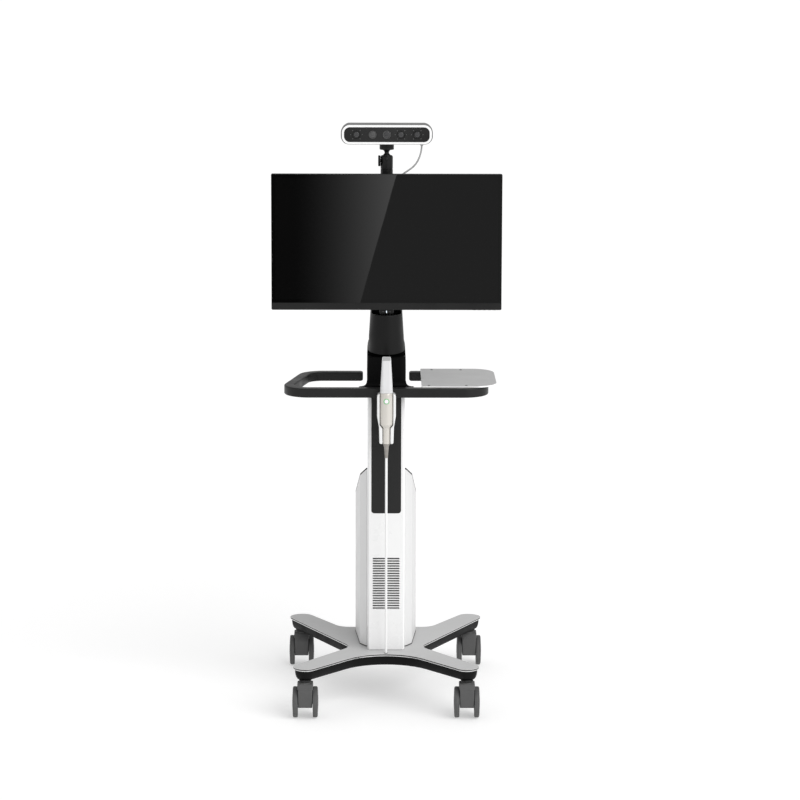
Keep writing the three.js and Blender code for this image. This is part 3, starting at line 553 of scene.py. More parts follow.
for finish, kept in (
        (inner_grey, ("computer", "power_supply", "lcd_panel")),
        (fitting_black, ("fan_frame", "fan_rotor", "mains_inlet", "power_switch"))):
    for node in kept:
        nodes[node].data.materials.clear()
        nodes[node].data.materials.append(finish)

# ------------------------------------------------------------------ leads

handpiece_path = smooth_route(HANDPIECE_LEAD, 6)
handpiece_cord = sheathed(tube("handpiece_cord", handpiece_path, 2.95, 24), lead_white)
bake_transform(handpiece_cord)
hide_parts("handpiece_lead")

bar_path = smooth_route(BAR_LEAD, 6)
bar_cord = sheathed(tube("bar_cord", bar_path, 2.05, 20), lead_grey)
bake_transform(bar_cord)
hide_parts("scanner_lead")

# ------------------------------------------------------------------ base

BASE = mirrored([
    (0, -66, 116), (-185.5, -278, 26), (-227.7, -244.2, 26), (-82.6, -53.8, 40),
    (-244.4, 245.7, 27), (-197, 275.5, 27), (-110, 135, 40),
])
AXLES = {
    "front_left": (-189.5, -239), "front_right": (189.5, -239),
    "rear_left": (-207.5, 239), "rear_right": (207.5, 239),
}

OUTLET_AXIS = (0, -117, 0)

shell = loft("base_shell", BASE, [(13, 93), (10.8, 93.3), (8.8, 94.7), (6.8, 98), (5.2, 103), (4.4, 108),
    (4, 112), (4, 115.2), (4.8, 116)], steps=12)
pocket = loft("pocket", rectangle(-62, 62, -94, 116, 16), soft(80, 109, 0, 3))
sockets = [lathe("socket", [(6.6, 80), (6.6, 110.5)], (x, y - 10, 0), steps=24) for x, y in AXLES.values()]


def outlet():
    """The hole for the handpiece's lead."""
    return lathe("outlet", [(4.1, 108), (4.1, 130)], OUTLET_AXIS, steps=24)


carve(shell, pocket, *sockets, outlet())
dress(shell, frame_black, "cart", "base_frame", slot="frame_black")
for name, levels, look, node, slot in (
        ("base_edge_trim", [(d + 1.5, z) for d, z in soft(116.3, 118.4, 0.5, 0.5, 2)],
         trim_metal, "base_trim", "trim_aluminium"),
        ("plate_core", [(0.5, 118.7), (0.35, 118.9), (0.35, 120.9), (0.6, 121.05)],
         edge_dark, "base_top_plate", "frame_black"),
        ("plate_top", [(0.1, 121.1), (0, 121.3), (0, 121.6), (0.15, 121.9), (0.5, 122)],
         plate_grey, "base_top_plate", "plate_grey")):
    dress(carve(loft(name, BASE, levels, steps=12), outlet()), look, "cart", node, slot=slot)

grommet = lathe("outlet_grommet", [(3.3, 117), (3.9, 117.2), (3.9, 121.9), (4.25, 122.3), (4.3, 122.6),
    (4.0, 123), (3.6, 123.1), (3.3, 122.9)], OUTLET_AXIS, steps=40)
dress(grommet, seal_rubber_and_shade, "cart", "lead_grommet", slot="lead_white")

hex_screws(
    "base_screws", [(0, 91.6), (3.4, 91.6), (4.4, 92.3), (4.4, 93.2), (0, 93.2)],
    [(-50, -108), (50, -108), (-72, 20), (72, 20), (-50, 110), (50, 110)], (1.9, 91, 92.6))

# ------------------------------------------------------------------ castors

HOOD = [
    (-31.5, -8, 7), (-33, 32, 20), (-23, 48.4, 7), (11, 48.4, 13), (33, 24, 20), (31.5, -8, 7),
]

AXLE_HEIGHT = 36.5
WHEEL_MIDDLE = 17.2


def build_castor(place, x, y):
    body = "castor_" + place

    def at(obj):
        return shifted(obj, x, y, AXLE_HEIGHT)

    hood = loft("hood_" + place, HOOD, [
        (2.2, -16.8), (0.9, -16.6), (0.3, -16.0), (0, -14.4), (0, -10), (0, 10), (0, 14.4), (0.3, 16.0),
        (0.9, 16.6), (2.2, 16.8)], "YZ", 10)
    crown = loft("crown", inset(HOOD, -0.8), [(2.6, -18.4), (1.2, -18.2), (0.4, -17.5), (0, -15), (0, 15),
        (0.4, 17.5), (1.2, 18.2), (2.6, 18.4)], "YZ", 10)
    above = slab("above", rectangle(-60, 60, 37.6, 80, 2), -30, 30, "YZ", 3)
    carve(crown, above, operation="INTERSECT")
    fused(hood, crown)
    hollow = loft("hollow", rectangle(-26.5, 26.5, -22, 25, 5), soft(-11.5, 11.5, 1, 1, 2), "YZ", 5)
    bore = lathe("bore", [(4.3, -40), (4.3, 40)], (0, 0, 0), "X", 24)
    carve(hood, hollow, bore)
    collar = lathe("collar", profile([(0, 43, 0), (13, 43, 0), (13, 50.6, 1.2), (10.6, 51.6, 0.8),
        (10.6, 56.1, 0), (6, 56.1, 0), (6, 70.6, 0), (0, 70.6, 0)]), (0, -10, 0), steps=40)
    fused(hood, collar)
    dress(at(hood), castor_grey, body, body + "_fork", slot="castor_grey", angle=42)

    rim = lathe("bearing_" + place, profile([(10.9, 52.2, 0), (13.6, 52.2, 0.9), (14.6, 56.1, 0.5),
        (10.9, 56.1, 0), (10.9, 52.2, 0)], 4), (0, -10, 0), steps=40)
    dress(at(rim), edge_dark, body)

    axle = lathe("axle_" + place, [
        (0, -30), (2.6, -30), (3.4, -29.6), (4, -29), (4, 29), (3.4, 29.6), (2.6, 30), (0, 30)],
        (0, 0, 0), "X", 32)
    dress(at(axle), steel, body, body + "_axle", slot="steel")

    for side, sign in (("left", -1), ("right", 1)):
        wheel_body = f"{body}_wheel_{side}"

        def wheel_part(name, corners, arc):
            outline = [(r, sign * (WHEEL_MIDDLE + h)) for r, h in profile(corners, arc)]
            return at(lathe(f"{name}_{place}_{side}", outline, (0, 0, 0), "X", 72))

        tread = wheel_part("tread", [
            (29.5, 0.5, 0), (35.2, 0.5, 0.8), (36.3, 1.6, 1), (36.5, 3.2, 0), (36.0, 3.5, 0), (36.0, 4.1, 0),
            (36.5, 4.4, 0), (36.5, 7.9, 0), (36.0, 8.2, 0), (36.0, 8.8, 0), (36.5, 9.1, 0.4), (36.2, 10.6, 1),
            (33.4, 12.0, 1.2), (30.2, 12.2, 0.5), (29.5, 11.4, 0), (29.5, 0.5, 0)], 3)
        dress(tread, tyre_grey, wheel_body, wheel_body, slot="tyre_grey")
        hub = wheel_part("hub", [(4.4, 0.4, 0), (29.2, 0.4, 1), (29.2, 11.2, 0.6), (28.2, 12.1, 0.8),
            (24.5, 12.5, 1.2), (22.6, 11.9, 0.6), (21.2, 12.2, 0.6), (17, 12.9, 2), (10.6, 13.25, 1),
            (9.9, 12.5, 0.3), (8.4, 12.5, 0.3), (7.6, 13.3, 0.5), (4.4, 13.3, 0.5), (4.4, 0.4, 0)], 4)
        dress(hub, castor_grey, wheel_body)


for castor_place, (axle_x, axle_y) in AXLES.items():
    build_castor(castor_place, axle_x, axle_y)

# ------------------------------------------------------------------ tower

column = loft("column_body", rectangle(-44.2, 44.2, -79.7, 60, 5), soft(122.3, 740.7, 0, 0.4, 2), steps=8)
carve(
    column,
    slab("inside", rectangle(-40.2, 40.2, -75.7, 56, 2), 100, 760, steps=2),
    slab("air_in", rectangle(-33, 33, -85, -69, 0), 217, 353),
    slab("air_out", rectangle(-34, 34, 50, 65, 0), 150, 290))
dress(column, column_white, "cart", "column_tube", slot="column_silver")

panel = loft("front_board", rectangle(-41.25, 41.25, 122.5, 740.6, 1.5), soft(-88, -80, 1.1, 0.3, 3), "XZ", 5)
bed = loft("bed", [(-35.3, 455.7, 7.3), (35.3, 455.7, 7.3), (35.3, 770, 0), (-35.3, 770, 0)],
           [(0, -95), (0, -85.9)], "XZ", 8)
slots = [loft("slot", rectangle(-32, 32, z - 0.3, z + 3.4, 1.8), [
    (-0.5, -90), (-0.5, -88), (-0.1, -87.6), (0, -87), (0, -78)], "XZ", 4)
    for z in [223 + 6.05 * i for i in range(21)]]
carve(panel, bed, gathered("slots", slots))
dress(panel, panel_white, "cart", "front_panel", slot="panel_white")

inlay = loft("column_insert", [(-35, 456, 7), (35, 456, 7), (35, 740.6, 0), (-35, 740.6, 0)],
             soft(-88.3, -86.2, 0.5, 0, 3), "XZ", 8)
dress(inlay, inlay_black, "cart", "column_inlay", slot="inlay_black")

filter_net = loft("vent_filter", rectangle(-33.5, 33.5, 218, 352, 2), soft(-79.4, -78.6, 0.2, 0.2, 1), "XZ",
    3)
threads = [slab("thread", rectangle(-33, 33, z, z + 0.9, 0), -79.9, -79.2, "XZ")
           for z in [219.8 + 4 * i for i in range(33)]]
dress(gathered("vent_filter_net", [filter_net] + threads), fitting_black, "cart")

HOUSING = [
    (44.6, -54, 0), (48, -53.5, 2), (62, -29, 3), (73.2, 94, 8), (72.2, 124, 8), (44.6, 124, 0),
]


def slope(x, y, side):
    """The height of the housing's slanting top."""
    return 560 - 0.512 * (y + 54) - 0.4 * max(0, side * x - 44.6)


def housing_rings(side, levels):
    """Rings of the housing's plan; a level is (inset, height, True where measured from the slope)."""
    plan = [(side * x, y, r) for x, y, r in HOUSING]
    rings = []
    for distance, height, from_slope in levels:
        ring = rounded(inset(plan, distance) if distance else plan, 8)
        rings.append([(p.x, p.y, height + (slope(p.x, p.y, side) if from_slope else 0)) for p in ring])
    return rings


for side, label in ((-1, "left"), (1, "right")):
    cover = skin("side_shell_" + label, housing_rings(side, [
        (0.6, 122.4, False), (0, 123.2, False), (0, -4.6, True), (0.25, -4.2, True)]))
    dress(cover, housing_white, "cart", "side_housing_" + label, slot="housing_white")
    cap = skin("side_cap_" + label, housing_rings(side, [
        (0.5, -4.1, True), (0.1, -3.9, True), (0.05, -1.0, True), (0.35, -0.3, True), (1.1, 0, True)]))
    dress(cap, fitting_black, "cart", slot="fitting_black")
    # Painted shade: a thin dark strip round each housing's foot, where it meets the plate, stands in for the
    # contact shade there.
    foot_shade_strip = skin("side_foot_shade_" + label, housing_rings(side, [
        (-0.5, 122.15, False), (-0.7, 122.5, False), (-0.7, 123.3, False), (-0.1, 124.2, False)]))
    dress(foot_shade_strip, seal_rubber_and_shade, "cart")

back = loft("rear_shell", [(-44, 60.3, 0), (44, 60.3, 0), (44, 124, 2), (-44, 124, 2)],
    [(0.4, 122.4), (0, 123), (0, 700)])
high = loft("high", [(-100, 760, 0), (300, 760, 0), (300, slope(0, 300, 0), 0), (-100, slope(0, -100, 0), 0)],
            [(0, -90), (0, 90)], "YZ")
void = slab("void", rectangle(-41, 41, 50, 121, 1), 126.3, 420, steps=2)
openings = [loft("slot", rectangle(-31, 31, z, z + 5, 2.4), [
    (0, inner), (0, 122.8), (-0.7, 124.2), (-0.7, 130)], "XZ", 5)
    for first, inner in ((205, 110), (300, 122)) for z in range(first, first + 72, 9)]
openings.append(slab("inlet", rectangle(-34.3, -5.7, 149.7, 170.3, 1.5), 110, 130, "XZ", 4))
openings.append(slab("switch", rectangle(12, 24, 150.7, 169.3, 1), 110, 130, "XZ", 4))
carve(back, high, void, gathered("openings", openings))
dress(back, housing_white, "cart", "rear_cover", slot="housing_white")

cross_screws("rear_screws", profile([(0, 125.3, 0), (2.6, 125.3, 0.8), (3.3, 124.2, 0.2), (3.3, 123.6, 0),
    (0, 123.6, 0)], 3), [(-38, 135), (38, 135), (-38, 400), (38, 400), (-57.5, 142), (57.5, 142),
    (-57.5, 400), (57.5, 400)], "cart", (1.6, 0.35), 124.7, 127, 24)

# ------------------------------------------------------------------ handrail and tray

RAIL = [(-256.9, -118, 60), (256.9, -118, 60), (199, 129, 60), (-199, 129, 60)]
RAIL_SECTION = rounded(rectangle(-12, 12, 739.4, 761.2, 3), 5)


def build_rail():
    """The open loop: its section is swept along the middle line and shrinks into round ends."""
    line = rounded(inset(RAIL, 12), 24)
    dense = []
    for a, b in zip(line, line[1:] + line[:1]):
        count = max(1, int((b - a).length / 8))
        dense += [a.lerp(b, k / count) for k in range(count)]
    gap = 55.5
    loop = [p for p in dense if not (abs(p.x) < gap + 13 and p.y > 90)]
    start = next(i for i, p in enumerate(loop) if (loop[i - 1] - p).length > 60)
    loop = loop[start:] + loop[:start]
    side = 1 if loop[0].x > 0 else -1
    y = loop[0].y
    ends = [gap, gap + 0.3, gap + 1, gap + 2.2, gap + 4, gap + 6, gap + 12]
    first = [Vector((side * x, y)) for x in ends]
    last = [Vector((-side * x, y)) for x in reversed(ends)]
    path = first + loop + last
    shrink = [0.62 + 0.38 * math.sqrt(1 - (1 - min(1, (x - gap) / 6)) ** 2) for x in ends]
    scale = shrink + [1] * len(loop) + shrink[::-1]
    rings = []
    for i, p in enumerate(path):
        ahead = (path[min(i + 1, len(path) - 1)] - path[max(i - 1, 0)]).normalized()
        out = Vector((ahead.y, -ahead.x))
        rings.append([
            (p.x + out.x * s.x * scale[i], p.y + out.y * s.x * scale[i], 751.1 + (s.y - 751.1) * scale[i])
            for s in RAIL_SECTION])
    return skin("rail_bar", rings)


rail = build_rail()
boss = skin("boss", [
    level(rounded([
        (-half - 8, front, 0), (half + 8, front, 0), (half, front + 3, 6), (46, -84.6, 0), (-46, -84.6, 0),
        (-half, front + 3, 6)], 6), z)
    for half, front, z in [(50, -96.5, 741.3), (50.4, -96.8, 742.4), (50.4, -96.8, 755), (50, -96.5, 757.2)]])
fused(rail, boss)
dress(rail, rail_black, "cart", "handrail", slot="rail_black")

TRAY = [(83, -102, 2), (261, -102, 52), (259, 136, 52), (83, 136, 2)]
tray = loft("tray_plate", TRAY, [(0.5, 761.3), (0.2, 761.5), (0.2, 764.2), (0.5, 764.8), (1.1, 765)],
    steps=20)
dress(tray, tray_metal, "cart", "tray", slot="tray_metal")
# Painted highlight: a thin near-white band wraps the tray's edge, where the metal catches the light.
tray_highlight_band = band("tray_highlight_band", TRAY, [(-0.25, 761.6), (-0.25, 764.1), (0.0, 764.4), (0.3, 764.4), (0.3, 761.5),
    (0.0, 761.4)], steps=20)
dress(tray_highlight_band, tray_edge_highlight, "cart", slot="tray_metal")
hex_screws(
    "tray_screws", profile([(0, 765.9, 0), (2.4, 765.9, 0.5), (3.4, 764.7, 0), (0, 764.7, 0)], 3),
    [(100, -94.5), (188, -94.5), (110, 118), (180, 118)], (1.5, 765.2, 767))

# ------------------------------------------------------------------ column head and neck

HEAD_LEVELS = [(44.4, 741.1), (45.2, 741.6), (45.4, 744), (45.7, 765), (45.8, 800), (45.6, 822), (45.0, 836),
    (44.2, 843), (42.9, 849), (40.6, 854.5), (37.6, 859), (34.6, 862), (33.2, 863.8), (32.9, 866),
    (32.9, 884)]


def head_ring(half, z):
    grown = 45.8 - half
    return level(rounded(rectangle(-half, half, -84 + 0.35 * grown, 58 - 0.35 * grown, 12), 10), z)


head = skin("head_body", [head_ring(half, z) for half, z in HEAD_LEVELS])
carve(
    head,
    slab("front_step", rectangle(-60, 60, -100, -43.7, 0), 830, 900),
    slab("back_step", rectangle(-60, 60, 22, 100, 0), 863, 900),
    slab("recess", [(-12.5, -100, 0), (12.5, -100, 0), (12.5, -66, 4), (-12.5, -66, 4)], 745, 900, steps=5),
    slab("inside", rectangle(-36, 36, -56, 50, 3), 700, 820))
dress(head, head_black, "cart", "column_head", slot="head_black")

flare = skin("head_flare", [
    level(rounded([
        (-46 - w, -84.4 - w * 0.55, min(w, 4)), (46 + w, -84.4 - w * 0.55, min(w, 4)),
        (46 + w * 0.8, -82.5, 0), (-46 - w * 0.8, -82.5, 0)], 6), z)
    for w, z in [(21, 761.1), (14, 761.5), (8.6, 762.6), (4.6, 764.6), (2.2, 767.2), (0.8, 770.4), (0.1, 774.5)]])
carve(flare, slab("recess", rectangle(-12.5, 12.5, -100, -66, 0), 745, 900))
dress(flare, head_black, "cart")

COVER_LEVELS = [
    (0.6, 836), (0.1, 836.5), (0, 837.5), (0, 850), (0, 927.2), (0.3, 928.4), (1, 929), (3, 929), (3, 836)]


def cover_outline(wall, z):
    """D-shaped: a flat back and sides, and an elliptical front whose lower rim hangs lowest."""
    half = 43.3 - wall
    taper = 1 - 0.141 * (z - 836) / 100
    points = [(half * math.cos(a), -43 + (42 - wall) * math.sin(a))
              for a in angles(math.pi, 2 * math.pi, 40)]
    for corner_x, first in ((half - 4, 0), (-half + 4, math.pi / 2)):
        points += [(corner_x + 4 * math.cos(a), 25 - wall + 4 * math.sin(a))
                   for a in angles(first, first + math.pi / 2, 6)]
    drop = 6.5 if z < 840 else 0
    return [(x * taper, y, z + drop * min(1, max(0, 1 + (y + 43) / 42))) for x, y in points]


cover = skin("neck_shell", [cover_outline(wall, z) for wall, z in COVER_LEVELS], closed=True)
carve(cover, slab("around_head", rectangle(-60, 60, -44, 60, 0), 830, 864))
dress(cover, cover_black, "cart", "neck_cover", slot="cover_black")

TILT_PIN = (0, -12, 1100)
post = box("post", -26, 26, -34, 18, 884.3, 892, 1.2)
fused(
    post,
    box("upright", -16, 16, -4, 14, 888, 1107.5, 1.6),
    box("web", -16, 16, -12, 4, 1092.4, 1107.6, 0.5),
    lathe("barrel", profile([(0, -24, 0), (8, -24, 0.8), (8, 24, 0.8), (0, 24, 0)], 3), TILT_PIN, "X", 40),
    lathe("pin", profile([(0, -36, 0), (4, -36, 0.8), (4, 36, 0.8), (0, 36, 0)], 3), TILT_PIN, "X", 32))
dress(post, steel, "cart", "neck_post", slot="steel")
hex_screws(
    "post_bolts", profile([(0, 896.6, 0), (4.2, 896.6, 0.6), (4.2, 892.1, 0), (0, 892.1, 0)], 3),
    [(-21, -27), (-21, 11), (21, -27), (21, 11)], (2.1, 894, 898), steps=28)

# ------------------------------------------------------------------ monitor

case = loft("monitor_case", rectangle(-270, 270, 941, 1261.5, 3.2), [
    (0.3, -69.7), (0, -69.3), (0, -61.5), (0.5, -59.4), (2, -58.2), (5, -58)], "XZ", 8)
chin = loft("chin", [(-270, 941, 3.2), (270, 941, 3.2), (270, 957.4, 0), (-270, 957.4, 0)], [
    (0.6, -72), (0.15, -71.8), (0, -71.3), (0, -67)], "XZ", 8)


def swell(x, y, z):
    """Draws the monitor's raised back in towards its middle as it rises."""
    t = max(0.0, (y + 58) / 24)
    k = 1 - 0.1 * t * t
    return x * k, y, 1078 + (z - 1078) * k


bulge = loft("bulge", rectangle(-205, 205, 966, 1190, 26), [
    (0, -59), (0, -54), (0.2, -48), (1, -42), (2.6, -38), (5.4, -35.2), (9, -34)], "XZ", 10, shape=swell)
fused(case, chin, bulge)
rows = [slab("vent", rectangle(x - 4, x + 4, z, z + 3, 1.4), -39, -30, "XZ", 3)
        for x in range(-150, 151, 12) for z in (1160, 1153)]
panel_room = slab("panel_room", rectangle(-262, 262, 962, 1254, 0), -75, -62, "XZ")
board_room = slab("board_room", rectangle(-170, 170, 990, 1150, 0), -65, -41, "XZ")
plate_bed = slab("plate_bed", rectangle(-52, 52, 1048, 1152, 7), -34.6, -30, "XZ", 6)
ports = [slab("port", rectangle(x - w, x + w, 1006, 1006 + h, 0.8), -37, -30, "XZ", 3)
         for x, w, h in [(-118, 9, 6), (-92, 8, 7), (-66, 7, 6), (70, 9, 9), (100, 4, 7)]]
carve(case, panel_room, board_room, gathered("rows", rows), plate_bed, gathered("ports", ports))
dress(case, bezel_black, "monitor", "monitor_housing", slot="monitor_black")

glass = loft("display_glass", rectangle(-269.6, 269.6, 957.7, 1261.2, 2.6), [
    (0.35, -72), (0.08, -71.85), (0, -71.5), (0, -70.1)], "XZ", 6)
dress(glass, screen_black, "monitor", "screen_glass", slot="screen_glass")

pod = box("status_pod", -17, 17, 931.5, 941.4, -68, -60, 1.2, "XZ", radius=3)
dress(pod, bezel_black, "monitor")
lamp = loft("status_lamp", rectangle(-0.9, 0.9, 933.2, 939, 0.8), [(0.2, -68.5), (0, -68.3), (0, -67.6)],
    "XZ", 4)
dress(lamp, led_status, "monitor")
marks = [loft("mark", rectangle(x - 1.3, x + 1.3, 935.4, 937.4, 0.9), [(0.2, -68.4), (0, -68.25), (0, -67.6)],
    "XZ", 4) for x in (-8, 8)]
dress(gathered("status_marks", marks), castor_grey, "monitor")
keys = [loft("key", rectangle(x - 3.6, x + 3.6, -67.2, -63.8, 1.6), [(0.5, 940), (0, 940.4), (0, 941.7)],
    "XY", 5) for x in (206, 218, 230, 242, 254)]
dress(gathered("menu_keys", keys), fitting_black, "monitor")

plate = loft("vesa_board", rectangle(-50, 50, 1050, 1150, 6), soft(-33.7, -29.7, 0.3, 0.6, 2), "XZ", 8)
ears = []
for side in (-1, 1):
    ear = [(-31, 1084, 0), (-12, 1091, 8.9), (-3, 1100, 8), (-12, 1109, 8.9), (-31, 1116, 0)]
    ears.append(loft("ear", ear, soft(side * 28 - 3, side * 28 + 3, 0.7, 0.7, 2), "YZ", 8))
fused(plate, *ears)
carve(plate, lathe("pin_hole", [(4.6, -50), (4.6, 50)], TILT_PIN, "X", 28))
dress(plate, steel, "monitor", "vesa_plate", slot="steel")
cross_screws(
    "vesa_screws", profile([(0, -27, 0), (3.1, -27, 1), (4, -29.4, 0), (4, -30.2, 0), (0, -30.2, 0)], 3),
    [(-42, 1058), (-42, 1142), (42, 1058), (42, 1142)], "monitor", (2.1, 0.45), -28.6, -26, 28)

bracket = box("bar_bracket", -20, 20, 1195, 1236, -57.7, -53.7, 0.7, "XZ", radius=3)
fused(bracket, box("shelf", -15, 15, -55, -7, 1232, 1236, 0.6, radius=4))
dress(bracket, ball_black, "monitor", "scanner_bracket", slot="ball_head_black")
dress(gathered("bracket_screws", [lathe("screw", profile([(0, -51.6, 0), (2.7, -51.6, 0.8), (3.5, -53.4, 0),
    (3.5, -54, 0), (0, -54, 0)], 3), (x, 0, 1206), "Y", 24) for x in (-12, 12)]), screw_steel, "monitor")

# ------------------------------------------------------------------ ball head

BALL_AXIS = (0, -22, 0)
CLAMP_AXIS = (0, 0, 1293.6)
KNOB_AXIS = (0, -22, 1287)
housing = lathe("head_housing", profile([(0, 1236.3, 0), (14.5, 1236.3, 1), (14.5, 1244, 0),
    (13.9, 1244.5, 0), (14.5, 1245, 0), (14.5, 1267.2, 0.3), (13.3, 1267.7, 0), (13.3, 1268.3, 0),
    (14.5, 1268.8, 0.3), (14.5, 1297.4, 1.6), (12.4, 1300, 1), (10.8, 1300, 0.4), (10.2, 1297.6, 0),
    (0, 1297.6, 0)]), BALL_AXIS, steps=64)
cup = lathe("cup", [(10.7 * math.sin(a), 1296 - 10.7 * math.cos(a)) for a in angles(0, math.pi, 24)],
            BALL_AXIS, steps=48)
port = lathe("port", profile([(0, 9, 0), (4.2, 9, 0), (4.2, 22.2, 0.8), (3.4, 23, 0), (0, 23, 0)]),
    (0, -22, 1248), "X", 32)
fused(housing, port)
carve(
    housing, cup,
    lathe("port_hole", [(2.65, 14), (2.65, 30)], (0, -22, 1248), "X", 24),
    lathe("stud_hole", [(3.6, -20), (3.6, -4)], KNOB_AXIS, "X", 24),
    lathe("screw_hole", [(3.4, -38), (3.4, -34)], CLAMP_AXIS, "Y", 28))
dress(housing, ball_black, "pan_head", "ball_housing", slot="ball_head_black")
cap_screw = lathe("clamp_screw", profile([(0, -36.4, 0), (2.6, -36.4, 0.5), (3, -35.6, 0), (3, -33.8, 0),
    (0, -33.8, 0)], 3), CLAMP_AXIS, "Y", 28)
carve(cap_screw, lathe("hex", [(1.5, -37), (1.5, -35.2)], CLAMP_AXIS, "Y", 6))
dress(cap_screw, fitting_black, "pan_head")

flutes = 24
knob_rings = []
for depth, h in [(1.4, -20.2), (0.5, -19.9), (0, -19.3), (0, -15.6), (0.4, -15), (1, -14.7)]:
    ring = []
    for k in range(flutes * 6):
        angle = 2 * math.pi * k / (flutes * 6)
        r = 12.75 - depth - 0.45 * (0.5 + 0.5 * math.cos(flutes * angle)) ** 2
        ring.append((h, -22 + r * math.cos(angle), 1287 + r * math.sin(angle)))
    knob_rings.append(ring)
knob = skin("turn_knob", knob_rings)
fused(knob, lathe("stud", profile([(0, -16, 0), (3, -16, 0), (3, -11.6, 0.5), (0, -11.6, 0)]), KNOB_AXIS, "X",
    28))
dress(knob, ball_black, "knob", "lock_knob", slot="ball_head_black")

ball = [(10 * math.cos(math.radians(a)), 1296 + 10 * math.sin(math.radians(a))) for a in range(-90, 61, 10)]
stem = lathe("ball_and_plate", ball[:-1] + profile([(5.6, 1304.2, 0), (5.2, 1307.6, 1.5), (7.6, 1311.6, 1.2),
    (9.6, 1313.6, 0.6), (16.9, 1313.9, 0.6), (16.9, 1320.4, 0.2), (16.3, 1320.8, 0), (16.9, 1321.2, 0.2),
    (16.9, 1326.6, 0.5), (0, 1326.6, 0)]), BALL_AXIS, steps=64)
dress(stem, ball_black, "scanner", "ball_stem", slot="ball_head_black")

# ------------------------------------------------------------------ scanner bar

MIDDLE = 1350.5


def pill(width, height, radius):
    return rectangle(-width / 2, width / 2, MIDDLE - height / 2, MIDDLE + height / 2, radius)


def taper(x, y, z):
    """The bar's back narrows below, rises a little above and dips in the middle of its top edge."""
    t = max(0.0, (y + 30) / 30)
    dip = 0.9 * (1 - min(1, abs(x) / 95) ** 2) if z > MIDDLE else 0
    swelling = 1 - 0.16 * t * t if z < MIDDLE else 1 + 0.1 * min(1, (y + 42) / 24)
    return x * (1 - 0.05 * t * t), y, MIDDLE + (z - MIDDLE) * swelling - dip


bar = loft("bar_shell", pill(215, 47, 20), [(0.9, -42), (0.3, -41.8), (0, -41.2), (0, -36), (0, -30),
    (0.1, -22), (0.4, -14), (1.2, -7.5), (3.2, -3), (6.5, -0.6), (10, 0)], "XZ", 18, shape=taper)
room = loft("room", pill(185.5, 28.6, 13), [(0, -47), (0, -8)], "XZ", 10)
seat = box("seat", -17, 17, -50, 10, 1310, 1327, 0.4)
lead_hole = lathe("lead_hole", [(2.65, 1318), (2.65, 1345)], (82, -22, 0), steps=28)
grille = [slab("slit", rectangle(x - 1, x + 1, MIDDLE - 6, MIDDLE + 6, 0.9), -1.2, 4, "XZ", 4)
          for x in range(-60, 61, 6)]
carve(bar, room, seat, lead_hole, gathered("grille", grille))
dress(bar, shell_grey, "scanner", "scanner_shell", slot="shell_grey")
gland = lathe("bar_gland", profile([(2.3, 1328.5, 0), (4.6, 1328.5, 0.4), (4.3, 1325.4, 0.5),
    (3.0, 1322.6, 0.4), (2.3, 1322.6, 0), (2.3, 1328.5, 0)], 3), (82, -22, 0), steps=32)
dress(gland, lead_grey, "scanner")

ring = band("bar_ring", pill(210.5, 45.2, 18.6), [(0.5, -42.3), (0, -42.6), (0, -43.9), (0.3, -44.6),
    (0.9, -45), (4.4, -45), (5.0, -44.8), (5.3, -44.3), (5.45, -42.4)], "XZ", 18)
dress(ring, ring_white, "scanner", "scanner_ring", slot="ring_white")

LENSES = [(-71, 8.8, True), (-33, 9.4, False), (0, 9.6, False), (33, 8.8, True), (71, 8.8, True)]
pane = loft("bar_window", pill(198.9, 34, 13), [(0.3, -44.4), (0, -44.2), (0, -42.3)], "XZ", 14)
holes = [lathe("hole", [(r + 0.7, -50), (r + 0.7, -40)], (x, 0, MIDDLE), "Y", 48) for x, r, _ in LENSES]
lamps = []
for x, r, ringed in LENSES:
    if not ringed:
        continue
    for angle in (0, 48, 132, 180, 228, 312):
        a = math.radians(angle)
        reach = 13.4 if abs(math.sin(a)) < 0.1 else 13.0
        lamps.append((x + reach * math.cos(a), MIDDLE + reach * math.sin(a)))
holes.append(gathered("lamp_holes", [
    lathe("hole", [(0.95, -45), (0.95, -43.4)], (x, 0, z), "Y", 20) for x, z in lamps]))
carve(pane, *holes)
dress(pane, window_black, "scanner", "scanner_window", slot="window_glass")
dots = [lathe("dot", [(0, -44.5), (0.5, -44.45), (0.75, -44.25), (0.85, -43.8), (0.85, -43.3), (0, -43.3)],
    (x, 0, z), "Y", 18) for x, z in lamps]
dress(gathered("bar_lamps", dots), led_white, "scanner")

for i, (x, r, ringed) in enumerate(LENSES, 1):
    barrel = lathe(f"lens_barrel_{i}", profile([(0, -36, 0), (r, -36, 0), (r, -44.5, 0.3),
        (r - 0.9, -44.5, 0.2), (r - 1.5, -43.6, 0), (r - 1.9, -43.6, 0), (r - 2.2, -43.0, 0), (0, -43.0, 0)],
        3), (x, 0, MIDDLE), "Y", 64)
    dress(barrel, fitting_black if ringed else lens_pale, "scanner", f"lens_{i}", slot="lens_glass")
    dome = [((r - 2.25) * math.sin(a), -42.9 - 1.5 * math.cos(a)) for a in angles(0, math.pi / 2, 10)]
    front = lathe(f"lens_front_{i}", dome + [(0, -42.9)], (x, 0, MIDDLE), "Y", 64)
    dress(front, lens_pale if i == 2 else lens_dark, "scanner")

# ------------------------------------------------------------------ cradle and handpiece

